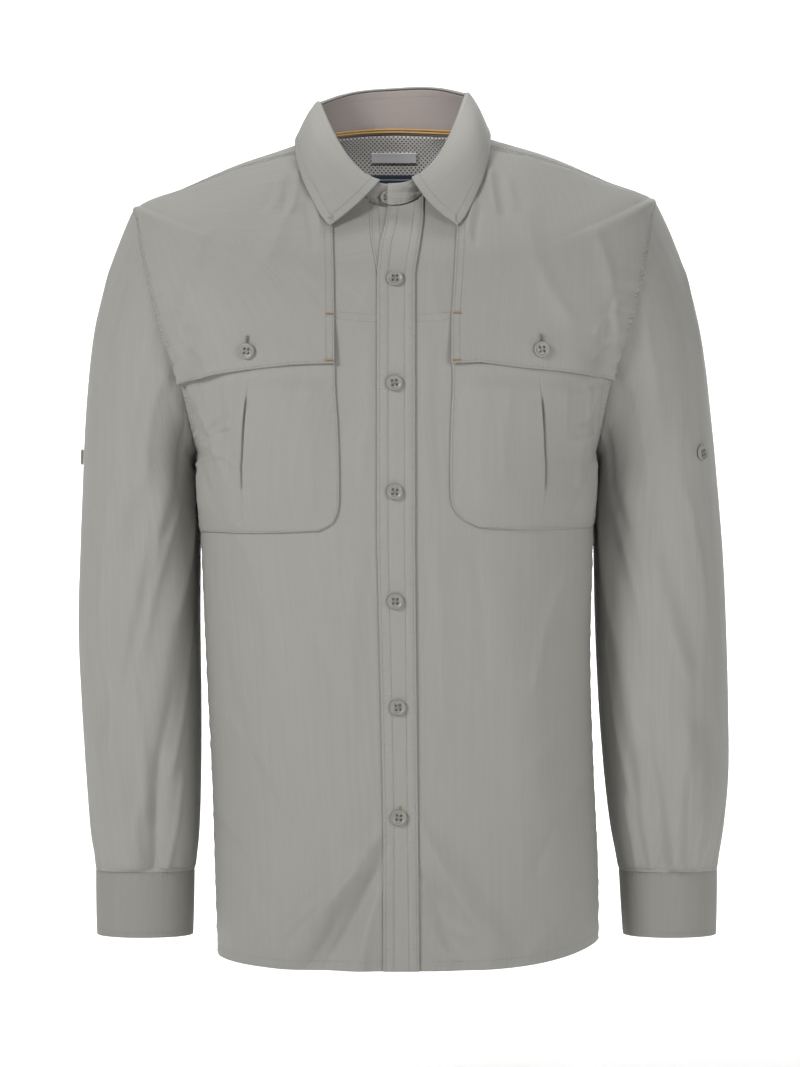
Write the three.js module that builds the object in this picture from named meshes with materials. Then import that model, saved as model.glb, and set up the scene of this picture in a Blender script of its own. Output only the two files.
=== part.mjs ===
// Long-sleeve outdoor shirt, filled out as if worn, with nobody in it.
// Millimetres, +Z up. The front faces -Y. +X is the wearer's left.
// The origin is midway between the high points of the shoulders, where the wearer carries the shirt.
import * as THREE from 'three';

// Cloth and seams
const clothWall = 1.2;
const stiffWall = 1.6;
const cuffWall = 2.0;
const seamGap = 0.3;
const laidGap = 0.5;

// Colours
const clothColour = '#9c9b96';
const bandColour = '#9f9e99';
const innerColour = '#a0968f';
const meshColour = '#9c9999';
const pipingColour = '#c8a064';
const darkLabelColour = '#2d3741';
const paleLabelColour = '#c8c8c8';
const buttonColour = '#8f8f88';

// Rings of the body, hem to neck. Heights are at the front centre, the side and the back centre.
// Half is the half width, fore and aft the depths, square the corner power, bow the height power.
const bodyColumns = [
  'at', 'front', 'side', 'back', 'shift', 'centre', 'half', 'fore', 'aft', 'square', 'bow', 'tilt',
];
const bodyRows = [
  [0.00, -727, -715, -743, 7.5, 0, 171, 122, 122, 2.35, 4.0, 7.0],
  [0.10, -655, -650, -664, 6.0, 0, 172, 122, 123, 2.35, 3.6, 4.0],
  [0.22, -560, -560, -565, 2.5, 0, 171.5, 120, 120, 2.4, 3.0, 1.0],
  [0.36, -462, -460, -465, -1.5, 0, 172.5, 119, 118, 2.4, 2.6, 0.0],
  [0.49, -370, -366, -374, -2.5, 0, 175.5, 124, 121, 2.45, 2.4, 0.0],
  [0.62, -290, -272, -290, -3.0, 0, 178.5, 130, 127, 2.5, 2.2, 0.0],
  [0.667, -265, 0, -262, -3.2, 0, 182, 131, 130, 2.5, 2.0, 0.5],
  [0.713, -237, 0, -230, -3.6, 0, 190, 131, 132, 2.5, 2.0, 1.0],
  [0.76, -203, 0, -191, -4.0, 0, 209, 130, 132, 2.55, 2.0, 2.0],
  [0.807, -168, 0, -150, -4.5, 1, 223, 128, 129, 2.5, 2.0, 2.5],
  [0.853, -138, 0, -113, -4.8, 3, 230, 124, 124, 2.4, 2.0, 3.0],
  [0.90, -112, -49, -84, -5.0, 4, 230, 118, 117, 2.3, 2.0, 3.5],
  [0.925, -96, -31, -62, -5.2, 5, 190, 110, 108, 2.25, 2.0, 3.5],
  [0.95, -82, -10.5, -32, -5.6, 6, 143, 99, 98, 2.2, 2.0, 3.5],
  [0.975, -68, 3.5, -3, -6.2, 6, 100, 84, 86, 2.15, 2.0, 3.0],
  [1.00, -55, 12.5, 20, -6.5, 5, 72, 72, 71, 2.1, 2.0, 2.0],
];

// Armhole between the pit and the shoulder tip
const pitAt = 0.62;
const tipAt = 0.90;
const pitHigh = -272;
const tipHigh = -49;
const armholeFore = 78;
const armholeAft = 68;

// Seams across the body
const yokeBackHigh = -98;
const chestSeamHigh = -161;
const yokeFrontAngle = 68;
const rowsBelowPit = 12;
const rowsInArmhole = 12;
const rowsOverShoulder = 5;

// Button band edges down the front, seen from the front
const bandColumns = ['high', 'left', 'right'];
const bandRows = [
  [-745, -14.1, 16.8],
  [-595, -14.1, 15.3],
  [-473, -16.6, 14.0],
  [-351, -19.5, 12.8],
  [-118, -19.6, 12.8],
  [-91, -16.8, 17.4],
  [-74, -12.6, 20.2],
  [-50, -9.7, 21.2],
];
const underBandRows = [
  [-745, -11.5, 11.8],
  [-351, -16.5, 7.8],
  [-135, -17.0, 7.8],
  [-115, -20.5, 7.8],
  [-85, -25.9, 13.0],
  [-50, -28.2, 16.0],
];

// Chest overlays: inner edge by height, and the free lower edge by distance from the centre
const flapInner = {
  r: [[-200, -57.1], [-120, -58.0], [-75, -59.8], [-40, -60.5]],
  l: [[-200, 44.8], [-155, 45.2], [-120, 47.7], [-67, 51.0], [-40, 52.0]],
};
const flapLower = {
  r: [[-57, -196.8], [-96, -198], [-134, -201.6], [-162, -204.5], [-197, -212]],
  l: [[44, -196.8], [70, -196], [105.5, -200], [150.6, -203], [190, -208]],
};
const flapLift = 3.2;
const flapRise = 45;

// Pockets: rows from the bottom edge up, with the inner and outer edge of each
const pocketColumns = ['high', 'inner', 'outer'];
const pocketTables = {
  r: [
    [-343, -71, 0.88], [-337, -60, 0.935], [-327, -54.6, 0.955], [-311, -52.9, 0.965],
    [-260, -53.6, 0.97], [-196, -56, 0.975],
  ],
  l: [
    [-340, 68, 0.845], [-333, 55, 0.915], [-324, 47.5, 0.95], [-310, 44.2, 0.965],
    [-260, 44, 0.97], [-196, 44.8, 0.975],
  ],
};
const pleatPlace = { r: -135.5, l: 124.5 };
const pleatDeep = 3.0;
const pocketPuff = 4.2;

// Sleeves: outer and inner points of each ring, its middle and half depth
const sleeveColumns = ['outerX', 'outerZ', 'innerX', 'innerZ', 'middle', 'depth', 'follow'];
const sleeveTables = {
  r: [
    [-238, -50, -181.5, -272, -5, 71, 1],
    [-251, -79, -182.5, -276, 1, 75, 0.86],
    [-262.5, -110, -183.5, -280, 7, 77, 0.6],
    [-272, -147, -183.5, -285, 13, 78, 0.35],
    [-279.5, -193, -182.5, -294, 19, 77, 0.14],
    [-284.5, -245, -181, -309, 24, 74.5, 0.03],
    [-287.2, -305, -180.4, -335, 26, 71.5, 0],
    [-289.5, -368, -180.4, -376, 25, 68.5, 0],
    [-290.7, -430, -180.4, -430, 22, 66, 0],
    [-287.5, -498, -179.3, -498, 17, 63, 0],
    [-283, -562, -179.3, -562, 11, 60, 0],
    [-279, -610, -180.5, -610, 6, 55.5, 0],
    [-275.2, -635, -183, -635, 4, 49, 0],
    [-273.7, -647, -185, -647, 3, 44.5, 0],
  ],
  l: [
    [232, -46, 174.8, -272, -5, 71, 1],
    [245.5, -74, 176, -276, 1, 75, 0.86],
    [257.5, -106, 177, -280, 7, 77, 0.6],
    [268, -145, 177, -285, 13, 78, 0.35],
    [275.8, -191, 176, -294, 19, 77, 0.14],
    [282, -245, 175.2, -309, 24, 74.5, 0.03],
    [287.2, -300, 174.8, -333, 26, 71.5, 0],
    [292.3, -365, 175.3, -372, 25, 69.5, 0],
    [295, -430, 176.4, -430, 22, 67.5, 0],
    [296.5, -500, 179.5, -500, 17, 64.5, 0],
    [296.3, -560, 184, -560, 11, 61.5, 0],
    [292, -605, 189, -605, 6, 57, 0],
    [287.5, -634, 194.5, -634, 4, 49.5, 0],
    [285.5, -647, 197.2, -647, 3, 44.5, 0],
  ],
};
const cuffTables = {
  r: { topX: [-273.7, -185], bottomX: [-272.8, -186.2], top: -647.3, bottom: -705, middle: 3, depth: 44.5 },
  l: { topX: [197.2, 285.5], bottomX: [200.6, 284.6], top: -647.3, bottom: -705, middle: 3, depth: 44.5 },
};
const cuffLap = 26;

// Collar stand top and the fall, half of each, from the centre back round to the front
const standTop = {
  front: -36, side: 45, back: 60, tilt: 4, shift: -6.5, centre: 4, half: 66.5, fore: 72, aft: 70,
  square: 2.05, bowLeft: 2.65, bowRight: 2.25, bowBack: 3,
};
// The front edges bow towards each other, fading over the given turn.
const collarBow = { l: 4.6, r: 2.6, reach: 16 };
// The free edge lies on the body: its turn and ring there, its height off it, and the belly above.
const collarColumns = ['along', 'turn', 'at', 'off', 'belly'];
const collarRows = [
  [0.00, 180, 0.9900, 3.2, 1.2],
  [0.20, 148, 0.9890, 3.2, 0.8],
  [0.36, 120, 0.9875, 3.2, 0.4],
  [0.50, 95, 0.9860, 3.4, 0.2],
  [0.60, 76, 0.9835, 4.4, 1.2],
  [0.70, 60, 0.9765, 5.0, 2.2],
  [0.80, 46, 0.9690, 5.0, 2.4],
  [0.90, 32, 0.9590, 4.8, 1.4],
  [1.00, 19, 0.9436, 4.6, 0.6],
];

// Soft folds, as segments seen from the front (or from the back), with half width and height
const foldColumns = ['x0', 'z0', 'x1', 'z1', 'wide', 'high'];
const frontFolds = [
  [-26, -628, -104, -722, 13, 5.5],
  [-20, -640, -72, -735, 12, -5.5],
  [-16, -640, -38, -740, 12, 4.5],
  [-40, -600, -150, -700, 16, 3.0],
  [27, -618, 88, -712, 13, 4.5],
  [30, -660, 60, -735, 13, -4.0],
  [-70, -420, -120, -560, 24, 2.5],
  [90, -400, 120, -600, 26, 2.5],
];
const backFolds = [
  [-60, -120, -90, -420, 22, 3.5],
  [70, -120, 95, -400, 22, 3.0],
  [0, -200, 10, -640, 26, -3.0],
  [-120, -330, -60, -560, 18, 3.5],
  [120, -320, 50, -600, 18, 3.0],
  [-90, -560, -110, -735, 20, 3.5],
  [80, -580, 70, -735, 20, 3.0],
];
const sleeveFoldColumns = ['turn0', 'high0', 'turn1', 'high1', 'wide', 'high'];
const sleeveFolds = {
  r: [
    [120, -300, 60, -470, 16, 4.0],
    [95, -320, 50, -520, 14, -4.0],
    [150, -330, 100, -520, 14, 3.0],
    [60, -520, 80, -660, 13, 3.5],
    [110, -540, 100, -660, 10, -3.5],
    [25, -150, 50, -330, 18, 2.5],
    [230, -300, 290, -480, 18, 4.0],
    [260, -330, 300, -560, 16, -3.5],
    [240, -540, 250, -655, 12, 3.5],
    [300, -560, 290, -655, 12, -3.0],
  ],
  l: [
    [125, -300, 70, -480, 16, 4.0],
    [95, -330, 45, -560, 14, -3.5],
    [150, -340, 110, -560, 14, 3.0],
    [75, -520, 85, -658, 11, 4.0],
    [100, -560, 98, -658, 9, -4.0],
    [30, -160, 50, -330, 18, 2.5],
    [235, -300, 290, -480, 18, 4.0],
    [265, -330, 300, -560, 16, -3.5],
    [245, -540, 250, -655, 12, 3.5],
    [300, -560, 290, -655, 12, -3.0],
  ],
};

// Buttons
const buttonRound = 7.1;
const buttonThick = 2.6;
const frontButtons = [[-4.3, -123], [-4.8, -214], [-4.5, -308.5], [-4.0, -404], [-1.8, -497], [-0.9, -593]];
const flapButtons = { r: [-132.5, -186], l: [122.5, -184.5] };
const tabButtons = { r: [6, -276], l: [47, -273] };

const rad = Math.PI / 180;
const clamp = (v, lo, hi) => Math.min(hi, Math.max(lo, v));
const ease = (v) => { const c = clamp(v, 0, 1); return c * c * (3 - 2 * c); };

// A smooth curve through the rows of a table, read at one place
function readTable(rows, at, column, key = 0) {
  const n = rows.length;
  let k = 0;
  while (k < n - 2 && at > rows[k + 1][key]) k += 1;
  const x0 = rows[k][key];
  const x1 = rows[k + 1][key];
  const h = x1 - x0;
  const slope = (i) => {
    const a = Math.max(0, i - 1);
    const b = Math.min(n - 1, i + 1);
    return (rows[b][column] - rows[a][column]) / (rows[b][key] - rows[a][key]);
  };
  const s = clamp((at - x0) / h, 0, 1);
  const s2 = s * s;
  const s3 = s2 * s;
  return (2 * s3 - 3 * s2 + 1) * rows[k][column] + (s3 - 2 * s2 + s) * h * slope(k)
    + (3 * s2 - 2 * s3) * rows[k + 1][column] + (s3 - s2) * h * slope(k + 1);
}

// Straight lines between the rows of a short table
function readLine(rows, at, column = 1) {
  const n = rows.length;
  const up = rows[n - 1][0] > rows[0][0];
  let k = 0;
  while (k < n - 2 && (up ? at > rows[k + 1][0] : at < rows[k + 1][0])) k += 1;
  const s = clamp((at - rows[k][0]) / (rows[k + 1][0] - rows[k][0]), 0, 1);
  return rows[k][column] + s * (rows[k + 1][column] - rows[k][column]);
}

const bodyCache = new Map();
function bodyRing(at) {
  const key = Math.round(at * 1e7);
  if (bodyCache.has(key)) return bodyCache.get(key);
  const ring = {};
  bodyColumns.forEach((name, c) => { if (c && name !== 'side') ring[name] = readTable(bodyRows, at, c); });
  const lift = clamp((at - pitAt) / (tipAt - pitAt), 0, 1);
  const low = bodyRows.filter((row) => row[0] <= pitAt);
  const high = bodyRows.filter((row) => row[0] >= tipAt);
  if (at <= pitAt) ring.side = readTable(low, at, 2);
  else if (at >= tipAt) ring.side = readTable(high, at, 2);
  else ring.side = (pitHigh + tipHigh) / 2 - ((tipHigh - pitHigh) / 2) * Math.cos(Math.PI * lift);
  const reach = Math.sin(Math.PI * lift);
  ring.power = 2 / ring.square;
  ring.edgeFore = Math.acos(Math.pow(armholeFore * reach / ring.fore, 1 / ring.power));
  ring.edgeAft = Math.acos(Math.pow(armholeAft * reach / ring.aft, 1 / ring.power));
  ring.wideFore = ring.half / Math.pow(Math.sin(ring.edgeFore), ring.power);
  ring.wideAft = ring.half / Math.pow(Math.sin(ring.edgeAft), ring.power);
  bodyCache.set(key, ring);
  return ring;
}

// The body without its folds. Turn is 0 at the front centre, 90 at the left side, 180 at the back.
function bodyBase(turn, at) {
  const ring = bodyRing(at);
  const a = turn * rad;
  const front = Math.cos(a) >= 0;
  const wide = front ? ring.wideFore : ring.wideAft;
  const deep = front ? ring.fore : ring.aft;
  const sine = Math.sin(a);
  const x = Math.sign(sine) * wide * Math.pow(Math.abs(sine), ring.power);
  const y = (front ? -1 : 1) * deep * Math.pow(Math.abs(Math.cos(a)), ring.power);
  const share = Math.abs(x) / ring.half;
  const middle = front ? ring.front : ring.back;
  const tilt = ring.tilt * Math.pow(clamp(x / ring.half, -1.2, 1.2), 3);
  const z = ring.side + (middle - ring.side) * (1 - Math.pow(Math.min(share, 1.3), ring.bow)) + tilt;
  return new THREE.Vector3(ring.shift + x, ring.centre + y, z);
}

function facing(surface, turn, at, dTurn, dAt, loAt, hiAt) {
  const a = surface(turn - dTurn, at);
  const b = surface(turn + dTurn, at);
  const c = surface(turn, Math.max(loAt, at - dAt));
  const d = surface(turn, Math.min(hiAt, at + dAt));
  return b.sub(a).cross(d.sub(c)).normalize();
}

// Height of the folds at a place, each a soft ridge or trough along its segment
function foldHigh(rows, x, z) {
  let sum = 0;
  for (const [x0, z0, x1, z1, wide, high] of rows) {
    const dx = x1 - x0;
    const dz = z1 - z0;
    const s = ((x - x0) * dx + (z - z0) * dz) / (dx * dx + dz * dz);
    if (s < -0.2 || s > 1.2) continue;
    const c = clamp(s, 0, 1);
    const away = Math.hypot(x - x0 - c * dx, z - z0 - c * dz) / wide;
    sum += high * Math.exp(-away * away) * ease(Math.min(s + 0.2, 1.2 - s) * 3);
  }
  return sum;
}

function bodySkin(turn, at, off = 0) {
  const p = bodyBase(turn, at);
  const n = facing(bodyBase, turn, at, 0.6, 0.004, 0, 1);
  const folds = Math.abs(turn) > 90 ? backFolds : frontFolds;
  const quiet = ease((172 - Math.abs(p.x)) / 30);
  return p.addScaledVector(n, off + quiet * foldHigh(folds, p.x, p.z));
}

// Turn on the front or back at which a ring has a given distance from the centre
function turnAt(x, at, front = true) {
  const ring = bodyRing(at);
  const wide = front ? ring.wideFore : ring.wideAft;
  const share = clamp(Math.abs(x - ring.shift) / wide, 0, 1);
  const a = Math.asin(Math.pow(share, 1 / ring.power)) / rad;
  const signed = Math.sign(x - ring.shift) * a;
  return front ? signed : Math.sign(signed || 1) * 180 - signed;
}

// Ring on the front or back that has a given height at a given distance from the centre
function ringAt(x, z, front = true) {
  let lo = 0;
  let hi = 1;
  for (let k = 0; k < 40; k += 1) {
    const mid = (lo + hi) / 2;
    if (bodyBase(turnAt(x, mid, front), mid).z < z) lo = mid; else hi = mid;
  }
  return (lo + hi) / 2;
}

function onFront(x, z, off) {
  const at = ringAt(x, z);
  return bodySkin(turnAt(x, at), at, off);
}

function onBack(x, z, off) {
  const at = ringAt(x, z, false);
  return bodySkin(turnAt(x, at, false), at, off);
}

// Turn of the outer edge of the front panels, and of the yoke, at each ring
function frontEdge(at) {
  if (at <= tipAt) return bodyRing(at).edgeFore / rad;
  return 90 - (90 - yokeFrontAngle) * Math.pow((at - tipAt) / (1 - tipAt), 0.6);
}

// One closed body from an outer and an inner grid of points
const group = new THREE.Group();

function addBody(name, points, faces, colour, roughness = 0.85, metalness = 0) {
  let volume = 0;
  const cross = new THREE.Vector3();
  for (const [a, b, c] of faces) volume += points[a].dot(cross.crossVectors(points[b], points[c]));
  const geometry = new THREE.BufferGeometry();
  const flat = points.flatMap((p) => [p.x, p.y, p.z]);
  geometry.setAttribute('position', new THREE.Float32BufferAttribute(flat, 3));
  geometry.setIndex(faces.flatMap((f) => (volume < 0 ? [f[0], f[2], f[1]] : f)));
  geometry.computeVertexNormals();
  const material = new THREE.MeshStandardMaterial({ color: colour, roughness, metalness });
  const mesh = new THREE.Mesh(geometry, material);
  mesh.name = name;
  group.add(mesh);
  return mesh;
}

function addWall(name, outer, inner, colour, { closed = false, roughness = 0.85 } = {}) {
  const rows = outer.length;
  const cols = outer[0].length;
  const points = [...outer.flat(), ...inner.flat()];
  const base = rows * cols;
  const id = (side, i, j) => side * base + i * cols + (j % cols);
  const faces = [];
  const quad = (a, b, c, d) => faces.push([a, b, c], [a, c, d]);
  const span = closed ? cols : cols - 1;
  for (let i = 0; i < rows - 1; i += 1) {
    for (let j = 0; j < span; j += 1) {
      quad(id(0, i, j), id(0, i, j + 1), id(0, i + 1, j + 1), id(0, i + 1, j));
      quad(id(1, i, j), id(1, i + 1, j), id(1, i + 1, j + 1), id(1, i, j + 1));
    }
  }
  for (let j = 0; j < span; j += 1) {
    quad(id(0, 0, j + 1), id(0, 0, j), id(1, 0, j), id(1, 0, j + 1));
    quad(id(0, rows - 1, j), id(0, rows - 1, j + 1), id(1, rows - 1, j + 1), id(1, rows - 1, j));
  }
  if (!closed) {
    for (let i = 0; i < rows - 1; i += 1) {
      quad(id(0, i, 0), id(0, i + 1, 0), id(1, i + 1, 0), id(1, i, 0));
      quad(id(0, i + 1, cols - 1), id(0, i, cols - 1), id(1, i, cols - 1), id(1, i + 1, cols - 1));
    }
  }
  return addBody(name, points, faces, colour, roughness);
}

// Draws the border of a grid back from its seam lines
function drawBack(grid, amount, edges) {
  const rows = grid.length;
  const cols = grid[0].length;
  const move = (p, q) => p.add(q.clone().sub(p).setLength(amount));
  if (edges.includes('first')) for (let j = 0; j < cols; j += 1) move(grid[0][j], grid[1][j]);
  if (edges.includes('last')) for (let j = 0; j < cols; j += 1) move(grid[rows - 1][j], grid[rows - 2][j]);
  if (edges.includes('left')) for (let i = 0; i < rows; i += 1) move(grid[i][0], grid[i][1]);
  if (edges.includes('right')) for (let i = 0; i < rows; i += 1) move(grid[i][cols - 1], grid[i][cols - 2]);
  return grid;
}

// A panel on the body: a place for each row and column, and its two faces
function addPanel(name, rows, cols, place, look = {}) {
  const { off = 0, wall = clothWall, colour = clothColour, edges = '' } = look;
  const face = (extra) => {
    const grid = [];
    for (let i = 0; i < rows; i += 1) {
      grid.push([]);
      for (let j = 0; j < cols; j += 1) {
        const { turn, at, lift = 0 } = place(i, j);
        grid[i].push(bodySkin(turn, at, off + lift + extra));
      }
    }
    return drawBack(grid, seamGap / 2, edges);
  };
  return addWall(name, face(0), face(-wall), colour);
}

// Rings shared by the panels, so that their seams meet point to point
const chestSeamAt = ringAt(0, chestSeamHigh);
const yokeSeamAt = ringAt(0, yokeBackHigh, false);
function ringList(seam) {
  const list = [];
  for (let k = 0; k < rowsBelowPit; k += 1) list.push(pitAt * Math.pow(k / rowsBelowPit, 1.3));
  for (let k = 0; k < rowsInArmhole; k += 1) list.push(pitAt + ((tipAt - pitAt) * k) / rowsInArmhole);
  for (let k = 0; k <= rowsOverShoulder; k += 1) list.push(tipAt + ((1 - tipAt) * k) / rowsOverShoulder);
  let best = 0;
  list.forEach((v, k) => { if (Math.abs(v - seam) < Math.abs(list[best] - seam)) best = k; });
  list[best] = seam;
  return { list, seam: best };
}
const frontRings = ringList(chestSeamAt);
const backRings = ringList(yokeSeamAt);

// Fronts. Their lines run down the band, the overlay's inner edge, the pleat and the outer edge.
const nearSteps = 3;
const middleSteps = 4;
const outerSteps = 5;
const frontCols = nearSteps + middleSteps + outerSteps + 1;
function overlayTurn(tag, side, at) {
  const high = bodyBase(turnAt(side * 52, at), at).z;
  return turnAt(readLine(flapInner[tag], high), at);
}
function frontLine(tag, side, at, j) {
  const overlay = overlayTurn(tag, side, at);
  const end = side * frontEdge(at);
  const pleat = turnAt(pleatPlace[tag], at);
  const most = overlay + (end - overlay) * 0.45;
  const middle = Math.abs(pleat) < Math.abs(most) ? pleat : most;
  const past = j - nearSteps - middleSteps;
  if (past >= 0) return middle + ((end - middle) * past) / outerSteps;
  if (j >= nearSteps) return overlay + ((middle - overlay) * (j - nearSteps)) / middleSteps;
  const high = bodyBase(side * 8, at).z;
  const inner = side > 0 ? readLine(bandRows, high, 2) - 2.2 : readLine(underBandRows, high, 1);
  const start = turnAt(inner, at);
  return start + ((overlay - start) * j) / nearSteps;
}
function frontPlace(tag, side, rings) {
  return (i, j) => ({ turn: frontLine(tag, side, rings[i], j), at: rings[i] });
}
const lowRings = frontRings.list.slice(0, frontRings.seam + 1);
const highRings = frontRings.list.slice(frontRings.seam);
for (const [tag, side] of [['r', -1], ['l', 1]]) {
  const lowPlace = frontPlace(tag, side, lowRings);
  const highPlace = frontPlace(tag, side, highRings);
  addPanel(`front_${tag}_lower`, lowRings.length, frontCols, lowPlace, { edges: 'last left right' });
  addPanel(`front_${tag}_upper`, highRings.length, frontCols, highPlace, {
    edges: 'first last left right',
  });
}

// Back and yoke
const backCols = 19;
const backList = backRings.list.slice(0, backRings.seam + 1);
addPanel('back', backList.length, backCols, (i, j) => {
  const at = backList[i];
  const edge = 180 - bodyRing(at).edgeAft / rad;
  return { turn: edge + ((360 - 2 * edge) * j) / (backCols - 1), at };
}, { edges: 'last left right' });

const yokeList = backRings.list.slice(backRings.seam);
const yokeCols = backCols;
const yokeEdge = (at) => (at <= tipAt ? 180 - bodyRing(at).edgeAft / rad : frontEdge(at));
const yokePlace = (i, j) => {
  const at = yokeList[i];
  const edge = yokeEdge(at);
  return { turn: edge + ((360 - 2 * edge) * j) / (yokeCols - 1), at };
};
addPanel('yoke', yokeList.length, yokeCols, yokePlace, { edges: 'first last left right' });

const liningTrim = 2;
const liningPlace = (i, j) => yokePlace(i, j + liningTrim);
addPanel('yoke_lining', yokeList.length, yokeCols - 2 * liningTrim, liningPlace, {
  off: -clothWall - 0.5, wall: 1.0, colour: meshColour, edges: 'first last',
});

// Button bands
const bandCols = 3;
const bandList = frontRings.list;
const bandPlace = (table) => (i, j) => {
  const at = Math.min(bandList[i], 0.9965);
  const high = bodyBase(0, at).z;
  const left = readLine(table, high, 1);
  const right = readLine(table, high, 2);
  return { turn: turnAt(left + ((right - left) * j) / (bandCols - 1), at), at };
};
addPanel('placket_under', bandList.length, bandCols, bandPlace(underBandRows), { edges: 'last left' });
addPanel('placket_over', bandList.length, bandCols, bandPlace(bandRows), {
  off: laidGap + stiffWall, wall: stiffWall, colour: bandColour, edges: 'last',
});

// Chest overlays, from the free flap edge up to the yoke seam
const flapCols = middleSteps + outerSteps + 1;
const flapLowRows = 5;
for (const [tag, side] of [['r', -1], ['l', 1]]) {
  const upper = frontRings.list.filter((at) => at > ringAt(side * 120, -165) + 0.004);
  const rows = flapLowRows + upper.length;
  addPanel(`flap_${tag}`, rows, flapCols, (i, j) => {
    const line = j + nearSteps;
    const top = upper[Math.max(0, i - flapLowRows)];
    let at = top;
    if (i < flapLowRows) {
      let edgeAt = top;
      for (let s = 0; s < 6; s += 1) {
        const x = bodyBase(frontLine(tag, side, edgeAt, line), edgeAt).x;
        edgeAt = ringAt(x, readLine(flapLower[tag], x));
      }
      at = edgeAt + ((top - edgeAt) * i) / flapLowRows;
    }
    const turn = frontLine(tag, side, at, line);
    const p = bodyBase(turn, at);
    const over = p.z - readLine(flapLower[tag], p.x);
    return { turn, at, lift: 0.15 + flapLift * ease(1 - over / flapRise) };
  }, { off: laidGap + clothWall, edges: 'last right' });
}

// Pockets, puffed a little and parted by a pleat
for (const [tag, side] of [['r', -1], ['l', 1]]) {
  const table = pocketTables[tag];
  const heights = [];
  for (const [from, to, steps] of [[0, 1, 1], [1, 2, 1], [2, 3, 1], [3, 4, 4], [4, 5, 4]]) {
    for (let k = 0; k < steps; k += 1) {
      heights.push(table[from].map((v, c) => v + ((table[to][c] - v) * k) / steps));
    }
  }
  heights.push(table[5]);
  const pleatHalf = [-4.5, -1.3, 0, 1.3, 4.5];
  const cols = middleSteps + pleatHalf.length + outerSteps;
  addPanel(`pocket_${tag}`, heights.length, cols, (i, j) => {
    const [high, inner, outerShare] = heights[i];
    const at0 = ringAt(side * 100, high);
    const outerTurn = side * outerShare * frontEdge(at0);
    const outer = bodyBase(outerTurn, at0).x;
    const pleat = pleatPlace[tag];
    let turn;
    const turnPleat = (shift) => turnAt(pleat + side * shift, at0);
    const first = turnAt(inner, at0);
    if (j < middleSteps) turn = first + ((turnPleat(-4.5) - first) * j) / middleSteps;
    else if (j < middleSteps + pleatHalf.length) turn = turnPleat(pleatHalf[j - middleSteps]);
    else {
      const line = Math.abs(frontLine(tag, side, at0, frontCols - cols + j));
      const left = cols - 1 - j;
      turn = side * Math.min(line, Math.abs(outerTurn) * (1 - 0.05 * left));
    }
    const x = bodyBase(turn, at0).x;
    const at = ringAt(x, high - 1.5 * Math.sin((Math.PI * (x - inner)) / (outer - inner)));
    const rise = high - table[0][0];
    const inward = Math.min(Math.abs(x - inner), Math.abs(turn - outerTurn) * 1.9);
    const full = ease(inward / 26) * ease(rise / 30);
    const open = Math.sin(Math.PI * clamp((rise - 20) / 125, 0, 1)) * 0.75 + 0.25;
    const inPleat = Math.exp(-Math.pow((x - pleat) / 2.2, 2)) * ease(rise / 16);
    const under = ease((-215 - high) / 16);
    const tuck = 0.25 + 0.75 * under;
    return { turn, at, lift: tuck * full * pocketPuff - inPleat * open * pleatDeep * full * tuck };
  }, { off: laidGap + clothWall });
}

// Sleeves. Turn is 0 on the outside, 90 at the front, 180 on the inside, 270 at the back.
const loopRows = frontRings.list.filter((at) => at >= pitAt - 1e-9 && at <= tipAt + 1e-9);
const loopBack = backRings.list.filter((at) => at >= pitAt - 1e-9 && at <= tipAt + 1e-9);
const sleeveSpokes = [];
for (let k = loopRows.length - 1; k >= 0; k -= 1) {
  const share = (loopRows[k] - pitAt) / (tipAt - pitAt);
  sleeveSpokes.push({ at: loopRows[k], fore: true, turn: 180 * (1 - share) });
}
for (let k = 1; k < loopBack.length - 1; k += 1) {
  const share = (loopBack[k] - pitAt) / (tipAt - pitAt);
  sleeveSpokes.push({ at: loopBack[k], fore: false, turn: 180 + 180 * share });
}
function armholePoint(side, spoke, off) {
  const edge = spoke.fore ? bodyRing(spoke.at).edgeFore / rad : 180 - bodyRing(spoke.at).edgeAft / rad;
  const turn = side * edge;
  return bodySkin(turn, spoke.at, off);
}
function sleeveRing(tag, k) {
  const table = sleeveTables[tag].map((row, i) => [i, ...row]);
  return sleeveColumns.map((name, c) => readTable(table, k, c + 1));
}
function sleeveEllipse(tag, turn, k) {
  const [ox, oz, ix, iz, middle, depth] = sleeveRing(tag, k);
  const c = Math.cos(turn * rad);
  const s = Math.sin(turn * rad);
  const power = 2 / 2.15;
  const cs = Math.sign(c) * Math.pow(Math.abs(c), power);
  const sn = Math.sign(s) * Math.pow(Math.abs(s), power);
  const x = (ox + ix) / 2 + ((ox - ix) / 2) * cs;
  const z = (oz + iz) / 2 + ((oz - iz) / 2) * cs;
  return new THREE.Vector3(x, middle - depth * sn, z);
}
const armLoops = {};
for (const [tag, side] of [['r', -1], ['l', 1]]) {
  const list = sleeveSpokes.map((spoke) => ({
    turn: spoke.turn,
    outer: armholePoint(side, spoke, 0),
    inner: armholePoint(side, spoke, -clothWall),
  }));
  armLoops[tag] = list.map((item) => {
    const step = item.outer.clone().sub(sleeveEllipse(tag, item.turn, 0));
    return { ...item, step };
  });
}
function loopStep(tag, turn) {
  const list = armLoops[tag];
  const t = ((turn % 360) + 360) % 360;
  let k = list.length - 1;
  while (k > 0 && list[k].turn > t) k -= 1;
  const a = list[k];
  const b = list[(k + 1) % list.length];
  const span = (b.turn > a.turn ? b.turn : b.turn + 360) - a.turn;
  return a.step.clone().lerp(b.step, (t - a.turn) / span);
}
function sleeveBase(tag, turn, k) {
  const follow = sleeveRing(tag, k)[6];
  return sleeveEllipse(tag, turn, k).addScaledVector(loopStep(tag, turn), follow);
}
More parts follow.
